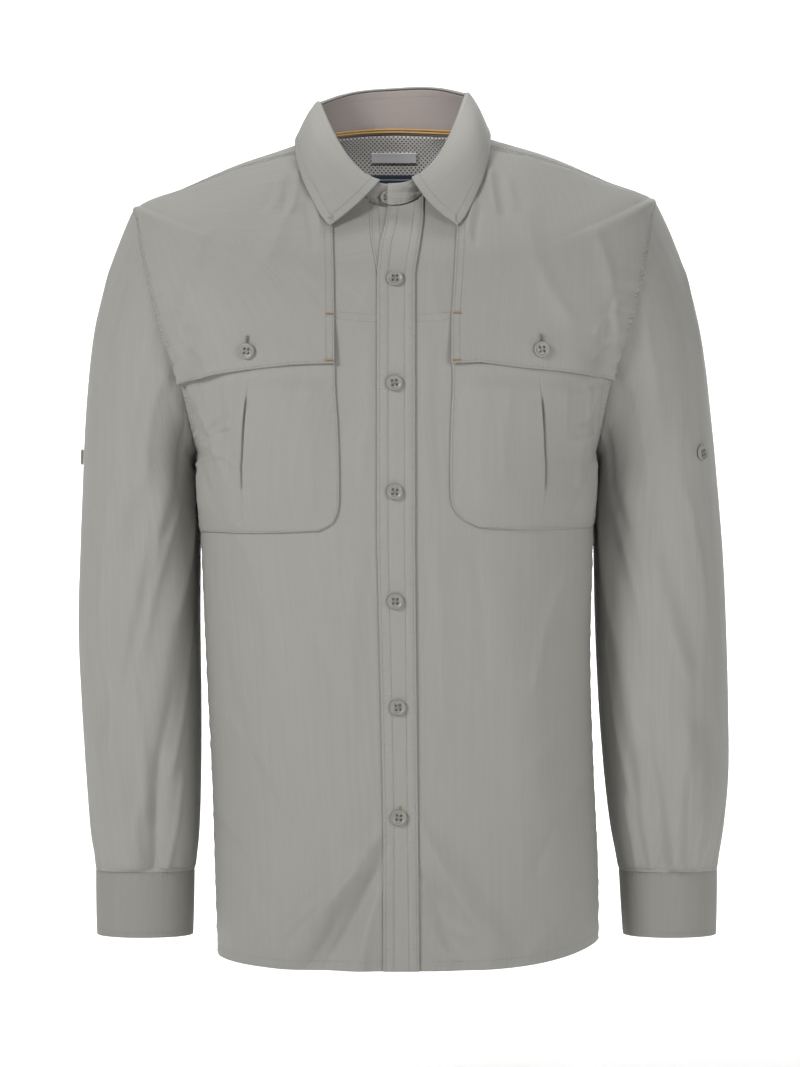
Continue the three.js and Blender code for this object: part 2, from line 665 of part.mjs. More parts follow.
function sleeveSkin(tag, turn, k, off) {
  const p = sleeveBase(tag, turn, k);
  const lo = Math.max(0, k - 0.2);
  const hi = Math.min(13, k + 0.2);
  const a = sleeveBase(tag, turn - 3, k);
  const b = sleeveBase(tag, turn + 3, k);
  const n = b.sub(a).cross(sleeveBase(tag, turn, lo).sub(sleeveBase(tag, turn, hi))).normalize();
  if (tag === 'l') n.negate();
  const t = ((turn % 360) + 360) % 360;
  const girth = 1.15;
  const rows = sleeveFolds[tag].map((r) => [r[0] * girth, r[1], r[2] * girth, r[3], r[4], r[5]]);
  const quiet = ease((k - 1.5) / 2) * ease((13 - k) / 0.6 + 0.15) * ease((Math.abs(t - 180) - 12) / 25);
  return p.addScaledVector(n, off + quiet * foldHigh(rows, t * girth, p.z));
}
const sleeveSteps = [
  0, 0.45, 1, 1.6, 2.3, 3.1, 4, 5, 5.9, 6.7, 7.4, 8.1, 8.8, 9.5, 10.2, 10.8, 11.3, 11.8, 12.35, 13,
];
for (const tag of ['r', 'l']) {
  const outer = [];
  const inner = [];
  sleeveSteps.forEach((k, i) => {
    outer.push([]);
    inner.push([]);
    armLoops[tag].forEach((item) => {
      if (i === 0) {
        const list = armLoops[tag];
        const spoke = list.indexOf(item);
        const ahead = list[(spoke + 1) % list.length].outer;
        const behind = list[(spoke + list.length - 1) % list.length].outer;
        const normal = item.outer.clone().sub(item.inner).normalize();
        const low = ease(1 - Math.abs(item.turn - 180) / 60);
        const { x, y, z } = item.outer;
        const body = new THREE.Vector3(Math.sign(x) * 140, y * 1.3, z - 160 * low);
        const out = ahead.clone().sub(behind).cross(normal).normalize();
        if (out.dot(body.sub(item.outer)) > 0) out.negate();
        const start = item.outer.clone().addScaledVector(out, seamGap * 1.5);
        const nextOuter = sleeveSkin(tag, item.turn, sleeveSteps[1], 1);
        const next = nextOuter.sub(sleeveSkin(tag, item.turn, sleeveSteps[1], 0));
        const lean = normal.addScaledVector(next, 0.35).addScaledVector(out, -0.15 - 0.6 * low).normalize();
        outer[i].push(start);
        inner[i].push(start.clone().addScaledVector(lean, -clothWall));
      } else {
        outer[i].push(sleeveSkin(tag, item.turn, k, 0));
        inner[i].push(sleeveSkin(tag, item.turn, k, -clothWall));
      }
    });
  });
  addWall(`sleeve_${tag}`, outer, inner, clothColour, { closed: true });
}

// Cuffs, each one band whose ends lap at the back
const cuffCols = 27;
const cuffStart = 232;
for (const [tag, side] of [['r', -1], ['l', 1]]) {
  const { topX, bottomX, top, bottom, middle, depth } = cuffTables[tag];
  const grid = (off) => [0, 0.33, 0.67, 1].map((v) => {
    const row = [];
    for (let j = 0; j < cuffCols; j += 1) {
      const turn = cuffStart + ((360 + cuffLap) * j) / (cuffCols - 1);
      const along = j / (cuffCols - 1);
      const step = 1.5 * ease((along - 0.86) / 0.1) - 1.5 * ease((0.14 - along) / 0.1);
      const half = (topX[1] - topX[0]) / 2 + ((bottomX[1] - bottomX[0]) / 2 - (topX[1] - topX[0]) / 2) * v;
      const mid = (topX[0] + topX[1]) / 2 + ((bottomX[0] + bottomX[1] - topX[0] - topX[1]) / 2) * v;
      const a = turn * rad;
      const r = off + step;
      const x = mid + side * (half + r) * Math.cos(a);
      const y = middle - (depth - 1.5 * v + r) * Math.sin(a);
      row.push(new THREE.Vector3(x, y, top + (bottom - top) * v));
    }
    return row;
  });
  addWall(`cuff_${tag}`, grid(0), grid(-cuffWall), bandColour);
}

// Collar stand: a band on the neck seam with lapped ends
const collarFrom = 14;
const collarTo = 350;
const collarCols = 29;
const collarTurns = [];
for (let j = 0; j < collarCols; j += 1) {
  collarTurns.push(collarFrom + ((collarTo - collarFrom) * j) / (collarCols - 1));
}
const standTurns = [-3, 5, ...collarTurns, 358, 368, 378];
const standCols = standTurns.length;
function standTopPoint(turn, off) {
  const t = standTop;
  const a = turn * rad;
  const front = Math.cos(a) >= 0;
  const power = 2 / t.square;
  const share = Math.pow(Math.abs(Math.sin(a)), power);
  const x = Math.sign(Math.sin(a)) * t.half * share;
  const y = (front ? -t.fore : t.aft) * Math.pow(Math.abs(Math.cos(a)), power);
  const bow = front ? (x > 0 ? t.bowLeft : t.bowRight) : t.bowBack;
  const level = t.side + ((front ? t.front : t.back) - t.side) * (1 - Math.pow(share, bow));
  const z = level + (t.tilt * x) / t.half;
  const out = new THREE.Vector3(x / (t.half * t.half), y / (t.aft * t.aft), 0).normalize();
  return new THREE.Vector3(t.shift + x, t.centre + y, z).addScaledVector(out, off);
}
function standLap(turn) {
  return 4.1 * ease((28 - turn) / 28) - 1.7 * ease((turn - 330) / 28);
}
function standPoint(turn, v, off) {
  const base = bodyBase(turn, 1);
  const top = standTopPoint(turn, 0);
  const out = new THREE.Vector3(top.x - standTop.shift, top.y - standTop.centre, 0).normalize();
  const low = base.clone().addScaledVector(out, -1.0);
  low.z += 0.75 - 3.2 * ease((turn - 334) / 14);
  const p = low.lerp(top, v);
  return p.addScaledVector(out, off + standLap(turn));
}
{
  const grid = (off) => [0, 0.35, 0.7, 1].map((v) => {
    const row = [];
    for (let j = 0; j < standCols; j += 1) row.push(standPoint(standTurns[j], v, off));
    return row;
  });
  addWall('collar_stand', grid(0), grid(-stiffWall), innerColour);
}

// Collar fall: over the top of the stand, out and down to its free edge
function collarEdge(turn) {
  const right = turn <= 180;
  const along = right ? (180 - turn) / (180 - collarFrom) : (turn - 180) / (collarTo - 180);
  const [edgeTurn, at, off, belly] = [1, 2, 3, 4].map((c) => readTable(collarRows, along, c));
  return { edge: bodySkin(right ? edgeTurn : 360 - edgeTurn, at, off), belly };
}
function collarPoint(turn, row) {
  const top = standTopPoint(turn, -stiffWall / 2);
  const out = new THREE.Vector3(top.x - standTop.shift, top.y - standTop.centre, 0).normalize();
  const lap = standLap(turn);
  if (row < 3) {
    const [o, z] = [[-0.9, 2.6], [1.6, 3.4], [4.2, 1.9]][row];
    return top.addScaledVector(out, o + lap).add(new THREE.Vector3(0, 0, z));
  }
  const { edge, belly } = collarEdge(turn);
  const from = top.addScaledVector(out, 4.2 + lap).add(new THREE.Vector3(0, 0, 1.9));
  const v = (row - 2) / 4;
  const p = from.clone().lerp(edge, v);
  const right = turn > 180;
  const past = (right ? collarTo - turn : turn - collarFrom) / collarBow.reach;
  const bow = (right ? collarBow.r : -collarBow.l) * Math.exp(-past * past) * Math.sin(Math.PI * v);
  const next = standTopPoint(turn + 2, -stiffWall / 2);
  p.addScaledVector(next.sub(standTopPoint(turn - 2, -stiffWall / 2)).normalize(), bow);
  p.addScaledVector(out, belly * 2 * Math.sin(Math.PI * Math.pow(v, 0.7)));
  p.z += belly * 0.6 * Math.sin(Math.PI * v);
  return p;
}
{
  const rows = 7;
  const outer = [];
  for (let i = 0; i < rows; i += 1) {
    outer.push([]);
    for (let j = 0; j < collarCols; j += 1) {
      outer[i].push(collarPoint(collarTurns[j], i));
    }
  }
  const inner = outer.map((row, i) => row.map((p, j) => {
    const du = row[Math.min(collarCols - 1, j + 1)].clone().sub(row[Math.max(0, j - 1)]);
    const dv = outer[Math.min(rows - 1, i + 1)][j].clone().sub(outer[Math.max(0, i - 1)][j]);
    const n = du.cross(dv).normalize();
    if (i > 1 && n.dot(new THREE.Vector3(p.x - standTop.shift, p.y, 30)) < 0) n.negate();
    if (i <= 1 && n.z < 0) n.negate();
    return p.clone().addScaledVector(n, -stiffWall);
  }));
  addWall('collar', outer, inner, clothColour);
}

// Two-cord tape over the inside neck seam, and two bare labels
{
  const turns = collarTurns.filter((turn) => turn > 100 && turn < 262);
  const under = -stiffWall - 0.35;
  const grid = (off) => [0.02, 0.13].map((v) => turns.map((turn) => standPoint(turn, v, under + off)));
  addWall('neck_tape', grid(0), grid(-1.4), pipingColour);
}
function addLabel(name, x0, x1, z0, z1, colour) {
  const rows = Math.max(2, Math.round((z1 - z0) / 10) + 1);
  addPanel(name, rows, 5, (i, j) => {
    const x = x0 + ((x1 - x0) * j) / 4;
    const z = z0 + ((z1 - z0) * i) / (rows - 1);
    const at = ringAt(x, z, false);
    return { turn: turnAt(x, at, false), at };
  }, { off: -clothWall - 0.5 - 1.0 - 1.0, wall: 0.8, colour });
}
addLabel('label_pale', -26.5, 15.5, -2.5, 6.7, paleLabelColour);
addLabel('label_dark', -26, 13, -54, -13.7, darkLabelColour);

// Buttons
const buttonProfile = [[0, 0], [0.93, 0], [1, 0.3], [0.97, 1], [0.8, 1], [0.68, 0.72], [0, 0.72]];
function addButton(name, place, normal, round = buttonRound, thick = buttonThick) {
  const shape = buttonProfile.map(([r, h]) => new THREE.Vector2(r * round, h * thick));
  const turns = 14;
  const points = [];
  const faces = [];
  const up = normal.clone().normalize();
  const side = new THREE.Vector3(0, 0, 1).cross(up).normalize();
  const across = up.clone().cross(side);
  const put = (r, h, a) => {
    const p = place.clone().addScaledVector(up, h);
    return p.addScaledVector(side, r * Math.cos(a)).addScaledVector(across, r * Math.sin(a));
  };
  points.push(put(0, shape[0].y, 0));
  for (let i = 1; i < shape.length - 1; i += 1) {
    for (let j = 0; j < turns; j += 1) points.push(put(shape[i].x, shape[i].y, (2 * Math.PI * j) / turns));
  }
  points.push(put(0, shape[shape.length - 1].y, 0));
  const last = points.length - 1;
  const rings = shape.length - 2;
  for (let j = 0; j < turns; j += 1) {
    const n = (j + 1) % turns;
    faces.push([0, 1 + n, 1 + j]);
    for (let i = 0; i < rings - 1; i += 1) {
      const a = 1 + i * turns;
      const b = a + turns;
      faces.push([a + j, a + n, b + n], [a + j, b + n, b + j]);
    }
    const a = 1 + (rings - 1) * turns;
    faces.push([a + j, a + n, last]);
  }
  return addBody(name, points, faces, buttonColour, 0.4);
}
function outwardAt(x, z) {
  const at = ringAt(x, z);
  return facing(bodyBase, turnAt(x, at), at, 1.5, 0.008, 0, 1);
}
frontButtons.forEach(([x, z], k) => {
  addButton(`button_front_${k + 1}`, onFront(x, z, laidGap + stiffWall + 0.35), outwardAt(x, z));
});
for (const tag of ['r', 'l']) {
  const [x, z] = flapButtons[tag];
  const over = z - readLine(flapLower[tag], x);
  const lift = flapLift * ease(1 - over / flapRise);
  addButton(`button_flap_${tag}`, onFront(x, z, laidGap + clothWall + lift + 0.6), outwardAt(x, z));
  const [turn, high] = tabButtons[tag];
  let k = 5;
  for (let s = 0; s < 30; s += 1) k += (sleeveBase(tag, turn, k).z - high) / 60;
  const here = sleeveSkin(tag, turn, k, 0);
  const normal = sleeveSkin(tag, turn, k, 1).sub(here);
  addButton(`button_sleeve_${tag}`, here.addScaledVector(normal, 0.2), normal);
}
{
  const turn = 356;
  const here = standPoint(turn, 0.45, 0);
  const normal = new THREE.Vector3(here.x - standTop.shift, here.y - standTop.centre, 0).normalize();
  addButton('button_stand', here.addScaledVector(normal, 0.6), normal, 5.6, 1.8);
}
for (const [tag, side] of [['r', -1], ['l', 1]]) {
  const { topX, bottomX, top, bottom, middle, depth } = cuffTables[tag];
  const turn = 245 * rad;
  const half = (topX[1] - topX[0] + bottomX[1] - bottomX[0]) / 4;
  const mid = (topX[0] + topX[1] + bottomX[0] + bottomX[1]) / 4;
  const normal = new THREE.Vector3((side * Math.cos(turn)) / half, -Math.sin(turn) / depth, 0).normalize();
  const x = mid + side * half * Math.cos(turn);
  const y = middle - (depth - 0.75) * Math.sin(turn);
  const here = new THREE.Vector3(x, y, (top + bottom) / 2);
  addButton(`button_cuff_${tag}`, here.addScaledVector(normal, 2.4), normal, 5.5);
}

export default group;
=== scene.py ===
import math
import bpy
import numpy as np
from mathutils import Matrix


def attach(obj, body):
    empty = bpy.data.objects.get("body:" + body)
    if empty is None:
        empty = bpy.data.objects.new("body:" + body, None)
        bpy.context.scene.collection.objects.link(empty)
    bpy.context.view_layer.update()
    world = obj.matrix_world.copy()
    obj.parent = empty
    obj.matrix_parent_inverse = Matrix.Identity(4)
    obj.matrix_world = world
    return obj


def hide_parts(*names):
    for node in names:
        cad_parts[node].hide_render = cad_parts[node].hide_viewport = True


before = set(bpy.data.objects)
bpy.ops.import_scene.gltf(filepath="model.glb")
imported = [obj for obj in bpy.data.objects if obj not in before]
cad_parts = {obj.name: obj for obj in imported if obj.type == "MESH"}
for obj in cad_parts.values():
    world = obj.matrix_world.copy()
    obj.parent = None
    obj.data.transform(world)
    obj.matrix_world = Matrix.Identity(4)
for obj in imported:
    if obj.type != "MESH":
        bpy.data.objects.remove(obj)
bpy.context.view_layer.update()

print("frame loaded")

# Everything below is worked out in millimetres and put into the meshes in metres.
clothWall = 1.2
stiffWall = 1.6
cuffWall = 2.0
laidGap = 0.5
gridSteps = {"body": 3.6, "frontDown": 3.4, "frontAcross": 3.0, "yokeDown": 3.0, "yokeAcross": 3.2, "lining": 4}

# the tables of the solids
bodyColumns = ["at", "front", "side", "back", "shift", "centre", "half", "fore", "aft", "square", "bow", "tilt"]
bodyRows = [
    [0.00, -727, -715, -743, 7.5, 0, 171, 122, 122, 2.35, 4.0, 7.0],
    [0.10, -655, -650, -664, 6.0, 0, 172, 122, 123, 2.35, 3.6, 4.0],
    [0.22, -560, -560, -565, 2.5, 0, 171.5, 120, 120, 2.4, 3.0, 1.0],
    [0.36, -462, -460, -465, -1.5, 0, 172.5, 119, 118, 2.4, 2.6, 0.0],
    [0.49, -370, -366, -374, -2.5, 0, 175.5, 124, 121, 2.45, 2.4, 0.0],
    [0.62, -290, -272, -290, -3.0, 0, 178.5, 130, 127, 2.5, 2.2, 0.0],
    [0.667, -265, 0, -262, -3.2, 0, 182, 131, 130, 2.5, 2.0, 0.5],
    [0.713, -237, 0, -230, -3.6, 0, 190, 131, 132, 2.5, 2.0, 1.0],
    [0.76, -203, 0, -191, -4.0, 0, 209, 130, 132, 2.55, 2.0, 2.0],
    [0.807, -168, 0, -150, -4.5, 1, 223, 128, 129, 2.5, 2.0, 2.5],
    [0.853, -138, 0, -113, -4.8, 3, 230, 124, 124, 2.4, 2.0, 3.0],
    [0.90, -112, -49, -84, -5.0, 4, 230, 118, 117, 2.3, 2.0, 3.5],
    [0.925, -96, -31, -62, -5.2, 5, 190, 110, 108, 2.25, 2.0, 3.5],
    [0.95, -82, -10.5, -32, -5.6, 6, 143, 99, 98, 2.2, 2.0, 3.5],
    [0.975, -68, 3.5, -3, -6.2, 6, 100, 84, 86, 2.15, 2.0, 3.0],
    [1.00, -55, 12.5, 20, -6.5, 5, 72, 72, 71, 2.1, 2.0, 2.0],
]
pitAt, tipAt, pitHigh, tipHigh = 0.62, 0.90, -272, -49
armholeFore, armholeAft = 78, 68
yokeBackHigh, chestSeamHigh, yokeFrontAngle = -98, -161, 68
bandRows = [
    [-745, -14.1, 16.8], [-595, -14.1, 15.3], [-473, -16.6, 14.0], [-351, -19.5, 12.8],
    [-118, -19.6, 12.8], [-91, -16.8, 17.4], [-74, -12.6, 20.2], [-50, -9.7, 21.2],
]
underBandRows = [
    [-745, -11.5, 11.8], [-351, -16.5, 7.8], [-135, -17.0, 7.8],
    [-115, -20.5, 7.8], [-85, -25.9, 13.0], [-50, -28.2, 16.0],
]
flapInner = {
    "r": [[-200, -57.1], [-120, -58.0], [-75, -59.8], [-40, -60.5]],
    "l": [[-200, 44.8], [-155, 45.2], [-120, 47.7], [-67, 51.0], [-40, 52.0]],
}
flapLower = {
    "r": [[-57, -196.8], [-96, -198], [-134, -201.6], [-162, -204.5], [-197, -212]],
    "l": [[44, -196.8], [70, -196], [105.5, -200], [150.6, -203], [190, -208]],
}
flapLift, flapRise = 3.2, 45
pocketTables = {
    "r": [[-343, -71, 0.88], [-337, -60, 0.935], [-327, -54.6, 0.955], [-311, -52.9, 0.965],
          [-260, -53.6, 0.97], [-196, -56, 0.975]],
    "l": [[-340, 68, 0.845], [-333, 55, 0.915], [-324, 47.5, 0.95], [-310, 44.2, 0.965],
          [-260, 44, 0.97], [-196, 44.8, 0.975]],
}
pleatPlace = {"r": -135.5, "l": 124.5}
pocketPuff = 4.2
sleeveTables = {
    "r": [
        [-238, -50, -181.5, -272, -5, 71, 1], [-251, -79, -182.5, -276, 1, 75, 0.86],
        [-262.5, -110, -183.5, -280, 7, 77, 0.6], [-272, -147, -183.5, -285, 13, 78, 0.35],
        [-279.5, -193, -182.5, -294, 19, 77, 0.14], [-284.5, -245, -181, -309, 24, 74.5, 0.03],
        [-287.2, -305, -180.4, -335, 26, 71.5, 0], [-289.5, -368, -180.4, -376, 25, 68.5, 0],
        [-290.7, -430, -180.4, -430, 22, 66, 0], [-287.5, -498, -179.3, -498, 17, 63, 0],
        [-283, -562, -179.3, -562, 11, 60, 0], [-279, -610, -180.5, -610, 6, 55.5, 0],
        [-275.2, -635, -183, -635, 4, 49, 0], [-273.7, -647, -185, -647, 3, 44.5, 0],
    ],
    "l": [
        [232, -46, 174.8, -272, -5, 71, 1], [245.5, -74, 176, -276, 1, 75, 0.86],
        [257.5, -106, 177, -280, 7, 77, 0.6], [268, -145, 177, -285, 13, 78, 0.35],
        [275.8, -191, 176, -294, 19, 77, 0.14], [282, -245, 175.2, -309, 24, 74.5, 0.03],
        [287.2, -300, 174.8, -333, 26, 71.5, 0], [292.3, -365, 175.3, -372, 25, 69.5, 0],
        [295, -430, 176.4, -430, 22, 67.5, 0], [296.5, -500, 179.5, -500, 17, 64.5, 0],
        [296.3, -560, 184, -560, 11, 61.5, 0], [292, -605, 189, -605, 6, 57, 0],
        [287.5, -634, 194.5, -634, 4, 49.5, 0], [285.5, -647, 197.2, -647, 3, 44.5, 0],
    ],
}
cuffTables = {
    "r": dict(topX=(-273.7, -185), bottomX=(-272.8, -186.2), top=-647.3, bottom=-705, middle=3, depth=44.5),
    "l": dict(topX=(197.2, 285.5), bottomX=(200.6, 284.6), top=-647.3, bottom=-705, middle=3, depth=44.5),
}
standTop = dict(front=-36, side=45, back=60, tilt=4, shift=-6.5, centre=4, half=66.5, fore=72, aft=70, square=2.05,
                bowLeft=2.65, bowRight=2.25, bowBack=3.0)
collarBow = {"l": 4.6, "r": 2.6, "reach": 16}
collarRows = [
    [0.00, 180, 0.9900, 3.2, 1.2], [0.20, 148, 0.9890, 3.2, 0.8], [0.36, 120, 0.9875, 3.2, 0.4],
    [0.50, 95, 0.9860, 3.4, 0.2], [0.60, 76, 0.9835, 4.4, 1.2], [0.70, 60, 0.9765, 5.0, 2.2],
    [0.80, 46, 0.9690, 5.0, 2.4], [0.90, 32, 0.9590, 4.8, 1.4], [1.00, 19, 0.9436, 4.6, 0.6],
]
# x0, z0, x1, z1, half width, height, and how far the middle bows sideways
frontFolds = [
    [-26, -628, -104, -722, 13, 5.5, 0], [-20, -640, -72, -735, 12, -5.5, 0], [-16, -640, -38, -740, 12, 4.5, 0],
    [-40, -600, -150, -700, 16, 3.0, 0], [27, -618, 88, -712, 13, 4.5, 0], [30, -660, 60, -735, 13, -4.0, 0],
    [-70, -420, -120, -560, 24, 2.5, 0], [90, -400, 120, -600, 26, 2.5, 0],
]
backFolds = [
    [-60, -120, -90, -420, 22, 3.5, 0], [70, -120, 95, -400, 22, 3.0, 0], [0, -200, 10, -640, 26, -3.0, 0],
    [-120, -330, -60, -560, 18, 3.5, 0], [120, -320, 50, -600, 18, 3.0, 0],
    [-90, -560, -110, -735, 20, 3.5, 0], [80, -580, 70, -735, 20, 3.0, 0],
]
sleeveFolds = {
    "r": [
        [120, -300, 60, -470, 16, 4.0, 0], [95, -320, 50, -520, 14, -4.0, 0], [150, -330, 100, -520, 14, 3.0, 0],
        [60, -520, 80, -660, 13, 3.5, 0], [110, -540, 100, -660, 10, -3.5, 0], [25, -150, 50, -330, 18, 2.5, 0],
        [230, -300, 290, -480, 18, 4.0, 0], [260, -330, 300, -560, 16, -3.5, 0],
        [240, -540, 250, -655, 12, 3.5, 0], [300, -560, 290, -655, 12, -3.0, 0],
    ],
    "l": [
        [125, -300, 70, -480, 16, 4.0, 0], [95, -330, 45, -560, 14, -3.5, 0], [150, -340, 110, -560, 14, 3.0, 0],
        [75, -520, 85, -658, 11, 4.0, 0], [100, -560, 98, -658, 9, -4.0, 0], [30, -160, 50, -330, 18, 2.5, 0],
        [235, -300, 290, -480, 18, 4.0, 0], [265, -330, 300, -560, 16, -3.5, 0],
        [245, -540, 250, -655, 12, 3.5, 0], [300, -560, 290, -655, 12, -3.0, 0],
    ],
}

# finer creases, listed one by one, with the same seven columns
frontCreases = [
    [-16, -604, -96, -700, 4.0, 1.5, 5], [-15, -622, -60, -712, 3.2, -1.6, 4], [-17, -655, -33, -722, 3.0, 1.3, -3],
    [-30, -618, -128, -716, 5.0, 1.0, -7], [-52, -672, -84, -728, 4.0, -0.9, 3], [16, -590, 70, -690, 4.0, 1.3, -5],
    [18, -640, 44, -706, 3.4, -1.2, 3], [24, -684, 62, -700, 3.0, 0.9, 2], [30, -700, 74, -726, 3.5, 0.9, -3],
    [-150, -330, -112, -470, 6.0, 0.9, 8], [-160, -420, -120, -560, 5.0, -0.8, -6],
    [-164, -500, -96, -590, 6.0, 0.8, 8],
    [-168, -600, -120, -668, 5.0, -0.8, 5], [160, -360, 118, -480, 6.0, 0.9, -8], [166, -470, 104, -560, 5.5, 0.8, 7],
    [168, -560, 120, -640, 5.0, -0.8, -5], [166, -640, 112, -716, 6.0, 0.7, 4], [30, -350, 34, -540, 7.0, 0.7, 5],
    [-34, -360, -40, -520, 7.0, 0.7, -5], [60, -350, 74, -470, 6.0, -0.6, 5], [-80, -350, -62, -470, 6.0, -0.6, -5],
    [-100, -60, -150, -150, 8.0, 1.0, 8], [-170, -80, -192, -180, 6.0, 1.1, -5], [-196, -130, -182, -214, 5.0, -1.0, 5],
    [110, -60, 150, -160, 8.0, 1.0, -8], [172, -80, 190, -180, 6.0, 1.1, 5], [190, -130, 176, -214, 5.0, -1.0, -5],
    [-186, -214, -150, -300, 4.0, 1.2, 6], [-180, -236, -156, -330, 3.4, -1.1, -4],
    [-172, -210, -158, -262, 3.0, 1.0, 2],
    [-176, -262, -140, -286, 3.2, 0.9, 3], [176, -214, 152, -300, 4.0, 1.0, -6], [172, -240, 150, -330, 3.6, -0.9, 4],
    [-24, -120, -40, -160, 4.0, 0.7, 3], [30, -112, 36, -158, 4.0, 0.7, -3], [-28, -170, -34, -300, 5.0, 0.6, 3],
    [26, -180, 28, -320, 5.0, 0.5, -3],
    [-92, -24, -95, -62, 2.6, 1.1, 1], [-99, -28, -103, -66, 2.6, -1.0, 1], [-106, -30, -111, -60, 2.6, 0.9, 1],
    [-114, -34, -119, -60, 2.6, -0.7, 1], [-78, -50, -70, -84, 2.4, 1.0, 1], [-84, -56, -76, -96, 2.6, -0.8, 1],
    [80, -24, 84, -62, 2.6, 1.1, -1], [88, -28, 93, -66, 2.6, -0.9, -1], [96, -30, 102, -60, 2.6, 0.8, -1],
    [66, -50, 60, -84, 2.4, 0.9, -1], [72, -56, 66, -92, 2.6, -0.7, -1],
    [-196, -150, -176, -170, 2.6, 1.1, 1], [-194, -176, -172, -196, 2.6, -1.0, 1],
    [-190, -188, -166, -212, 2.8, 1.0, 1],
    [188, -150, 170, -168, 2.6, 1.0, -1], [186, -176, 166, -194, 2.6, -0.9, -1], [184, -190, 160, -214, 2.8, 0.9, -1],
]
backCreases = [
    [-150, -110, -100, -260, 6.0, 1.1, 8], [-176, -150, -130, -330, 5.0, -1.0, -6],
    [150, -108, 104, -250, 6.0, 1.1, -8],
    [172, -150, 128, -320, 5.0, -1.0, 6], [-40, -130, -52, -330, 6.0, 0.9, 6], [34, -126, 48, -300, 6.0, 0.8, -5],
    [-150, -340, -60, -430, 6.0, 1.0, 10], [-160, -400, -70, -500, 5.0, -0.9, 8], [152, -350, 66, -440, 6.0, 1.0, -9],
    [156, -430, 60, -520, 5.0, -0.9, -7], [-60, -420, -46, -600, 7.0, 0.9, 6], [54, -430, 66, -610, 7.0, 0.8, -6],
    [-150, -520, -104, -640, 6.0, 1.0, 6], [146, -540, 100, -660, 6.0, 0.9, -6], [-20, -560, -34, -720, 6.0, 0.9, 4],
    [28, -590, 20, -726, 6.0, -0.8, 4], [-120, -640, -134, -726, 5.0, 0.9, 3], [116, -650, 130, -728, 5.0, 0.8, -3],
    [-110, -40, -70, -84, 7.0, 0.7, 4], [100, -36, 64, -82, 7.0, 0.7, -4],
]
sleeveCreases = {
    "r": [
        [18, -110, 40, -220, 6, 1.1, 4], [48, -100, 62, -230, 5, -1.0, -4], [80, -120, 84, -260, 6, 1.0, 5],
        [112, -180, 96, -300, 5, 1.1, -4], [140, -240, 112, -350, 5, -1.0, 5], [158, -290, 128, -420, 4, 1.1, 5],
        [132, -320, 96, -450, 4, 0.9, -5], [104, -330, 74, -500, 4, -1.0, 6], [72, -280, 56, -420, 5, 0.9, -4],
        [40, -330, 34, -470, 5, 0.8, 4], [150, -420, 120, -560, 4, 1.0, 4], [124, -480, 100, -610, 4, -0.9, -4],
        [88, -480, 92, -600, 4, 0.9, 4], [62, -460, 72, -600, 5, 0.8, -4], [36, -500, 54, -620, 5, 0.9, 3],
        [134, -560, 116, -646, 4, 1.2, 2], [104, -580, 100, -650, 3, -1.1, 1], [86, -590, 88, -650, 3, 1.0, -1],
        [60, -600, 68, -650, 4, 1.0, 1], [20, -590, 30, -650, 4, -0.9, 1], [210, -290, 240, -420, 5, 1.0, 5],
        [246, -200, 262, -340, 6, 1.0, -4], [282, -160, 296, -300, 6, -0.9, 4], [320, -120, 318, -260, 6, 0.9, 4],
        [238, -400, 270, -540, 5, -0.9, 4], [284, -420, 276, -560, 5, 0.9, -4], [320, -420, 312, -560, 5, 0.8, 4],
        [222, -560, 232, -648, 4, 1.0, 2], [262, -570, 262, -648, 3, -1.0, 1], [284, -590, 280, -650, 3, 0.9, 1],
        [330, -580, 322, -648, 4, 0.9, -2],
    ],
    "l": [
        [16, -110, 36, -210, 6, 1.1, 4], [46, -110, 58, -250, 5, -0.9, -4], [78, -130, 86, -250, 6, 1.0, 5],
        [110, -190, 98, -310, 5, 1.0, -4], [142, -250, 118, -340, 5, -1.0, 5], [156, -300, 134, -440, 4, 1.1, 5],
        [130, -330, 104, -470, 4, 0.9, -5], [100, -350, 78, -480, 4, -0.9, 6], [70, -300, 50, -430, 5, 0.9, -4],
        [38, -320, 30, -460, 5, 0.8, 4], [148, -430, 128, -580, 4, 0.9, 4], [118, -470, 104, -600, 4, -0.9, -4],
        [90, -470, 84, -590, 4, 0.9, 4], [58, -470, 66, -610, 5, 0.8, -4], [34, -510, 50, -630, 5, 0.9, 3],
        [100, -500, 84, -650, 4, 1.4, 3], [124, -540, 118, -648, 4, -1.1, 2], [76, -560, 76, -650, 3, -1.1, 1],
        [136, -580, 130, -650, 3, 1.0, -1], [56, -590, 62, -650, 4, 1.0, 1], [22, -590, 30, -650, 4, -0.9, 1],
        [212, -290, 240, -430, 5, 1.0, 5], [246, -210, 264, -330, 6, 1.0, -4], [282, -170, 298, -300, 6, -0.9, 4],
        [318, -120, 320, -270, 6, 0.9, 4], [240, -410, 268, -540, 5, -0.9, 4], [286, -410, 278, -550, 5, 0.9, -4],
        [322, -430, 310, -570, 5, 0.8, 4], [224, -560, 232, -648, 4, 1.0, 2], [264, -570, 262, -648, 3, -1.0, 1],
        [286, -590, 280, -650, 3, 0.9, 1], [332, -580, 322, -648, 4, 0.9, -2],
    ],
}


def ease(v):
    c = np.clip(v, 0, 1)
    return c * c * (3 - 2 * c)


def readTable(rows, at, column, key=0):
    table = np.asarray(rows, float)
    x, v = table[:, key], table[:, column]
    n = len(x)
    lo = np.maximum(np.arange(n) - 1, 0)
    hi = np.minimum(np.arange(n) + 1, n - 1)
    slope = (v[hi] - v[lo]) / (x[hi] - x[lo])
    k = np.clip(np.searchsorted(x, at, side="left") - 1, 0, n - 2)
    h = x[k + 1] - x[k]
    s = np.clip((at - x[k]) / h, 0, 1)
    s2, s3 = s * s, s * s * s
    return ((2 * s3 - 3 * s2 + 1) * v[k] + (s3 - 2 * s2 + s) * h * slope[k]
            + (3 * s2 - 2 * s3) * v[k + 1] + (s3 - s2) * h * slope[k + 1])


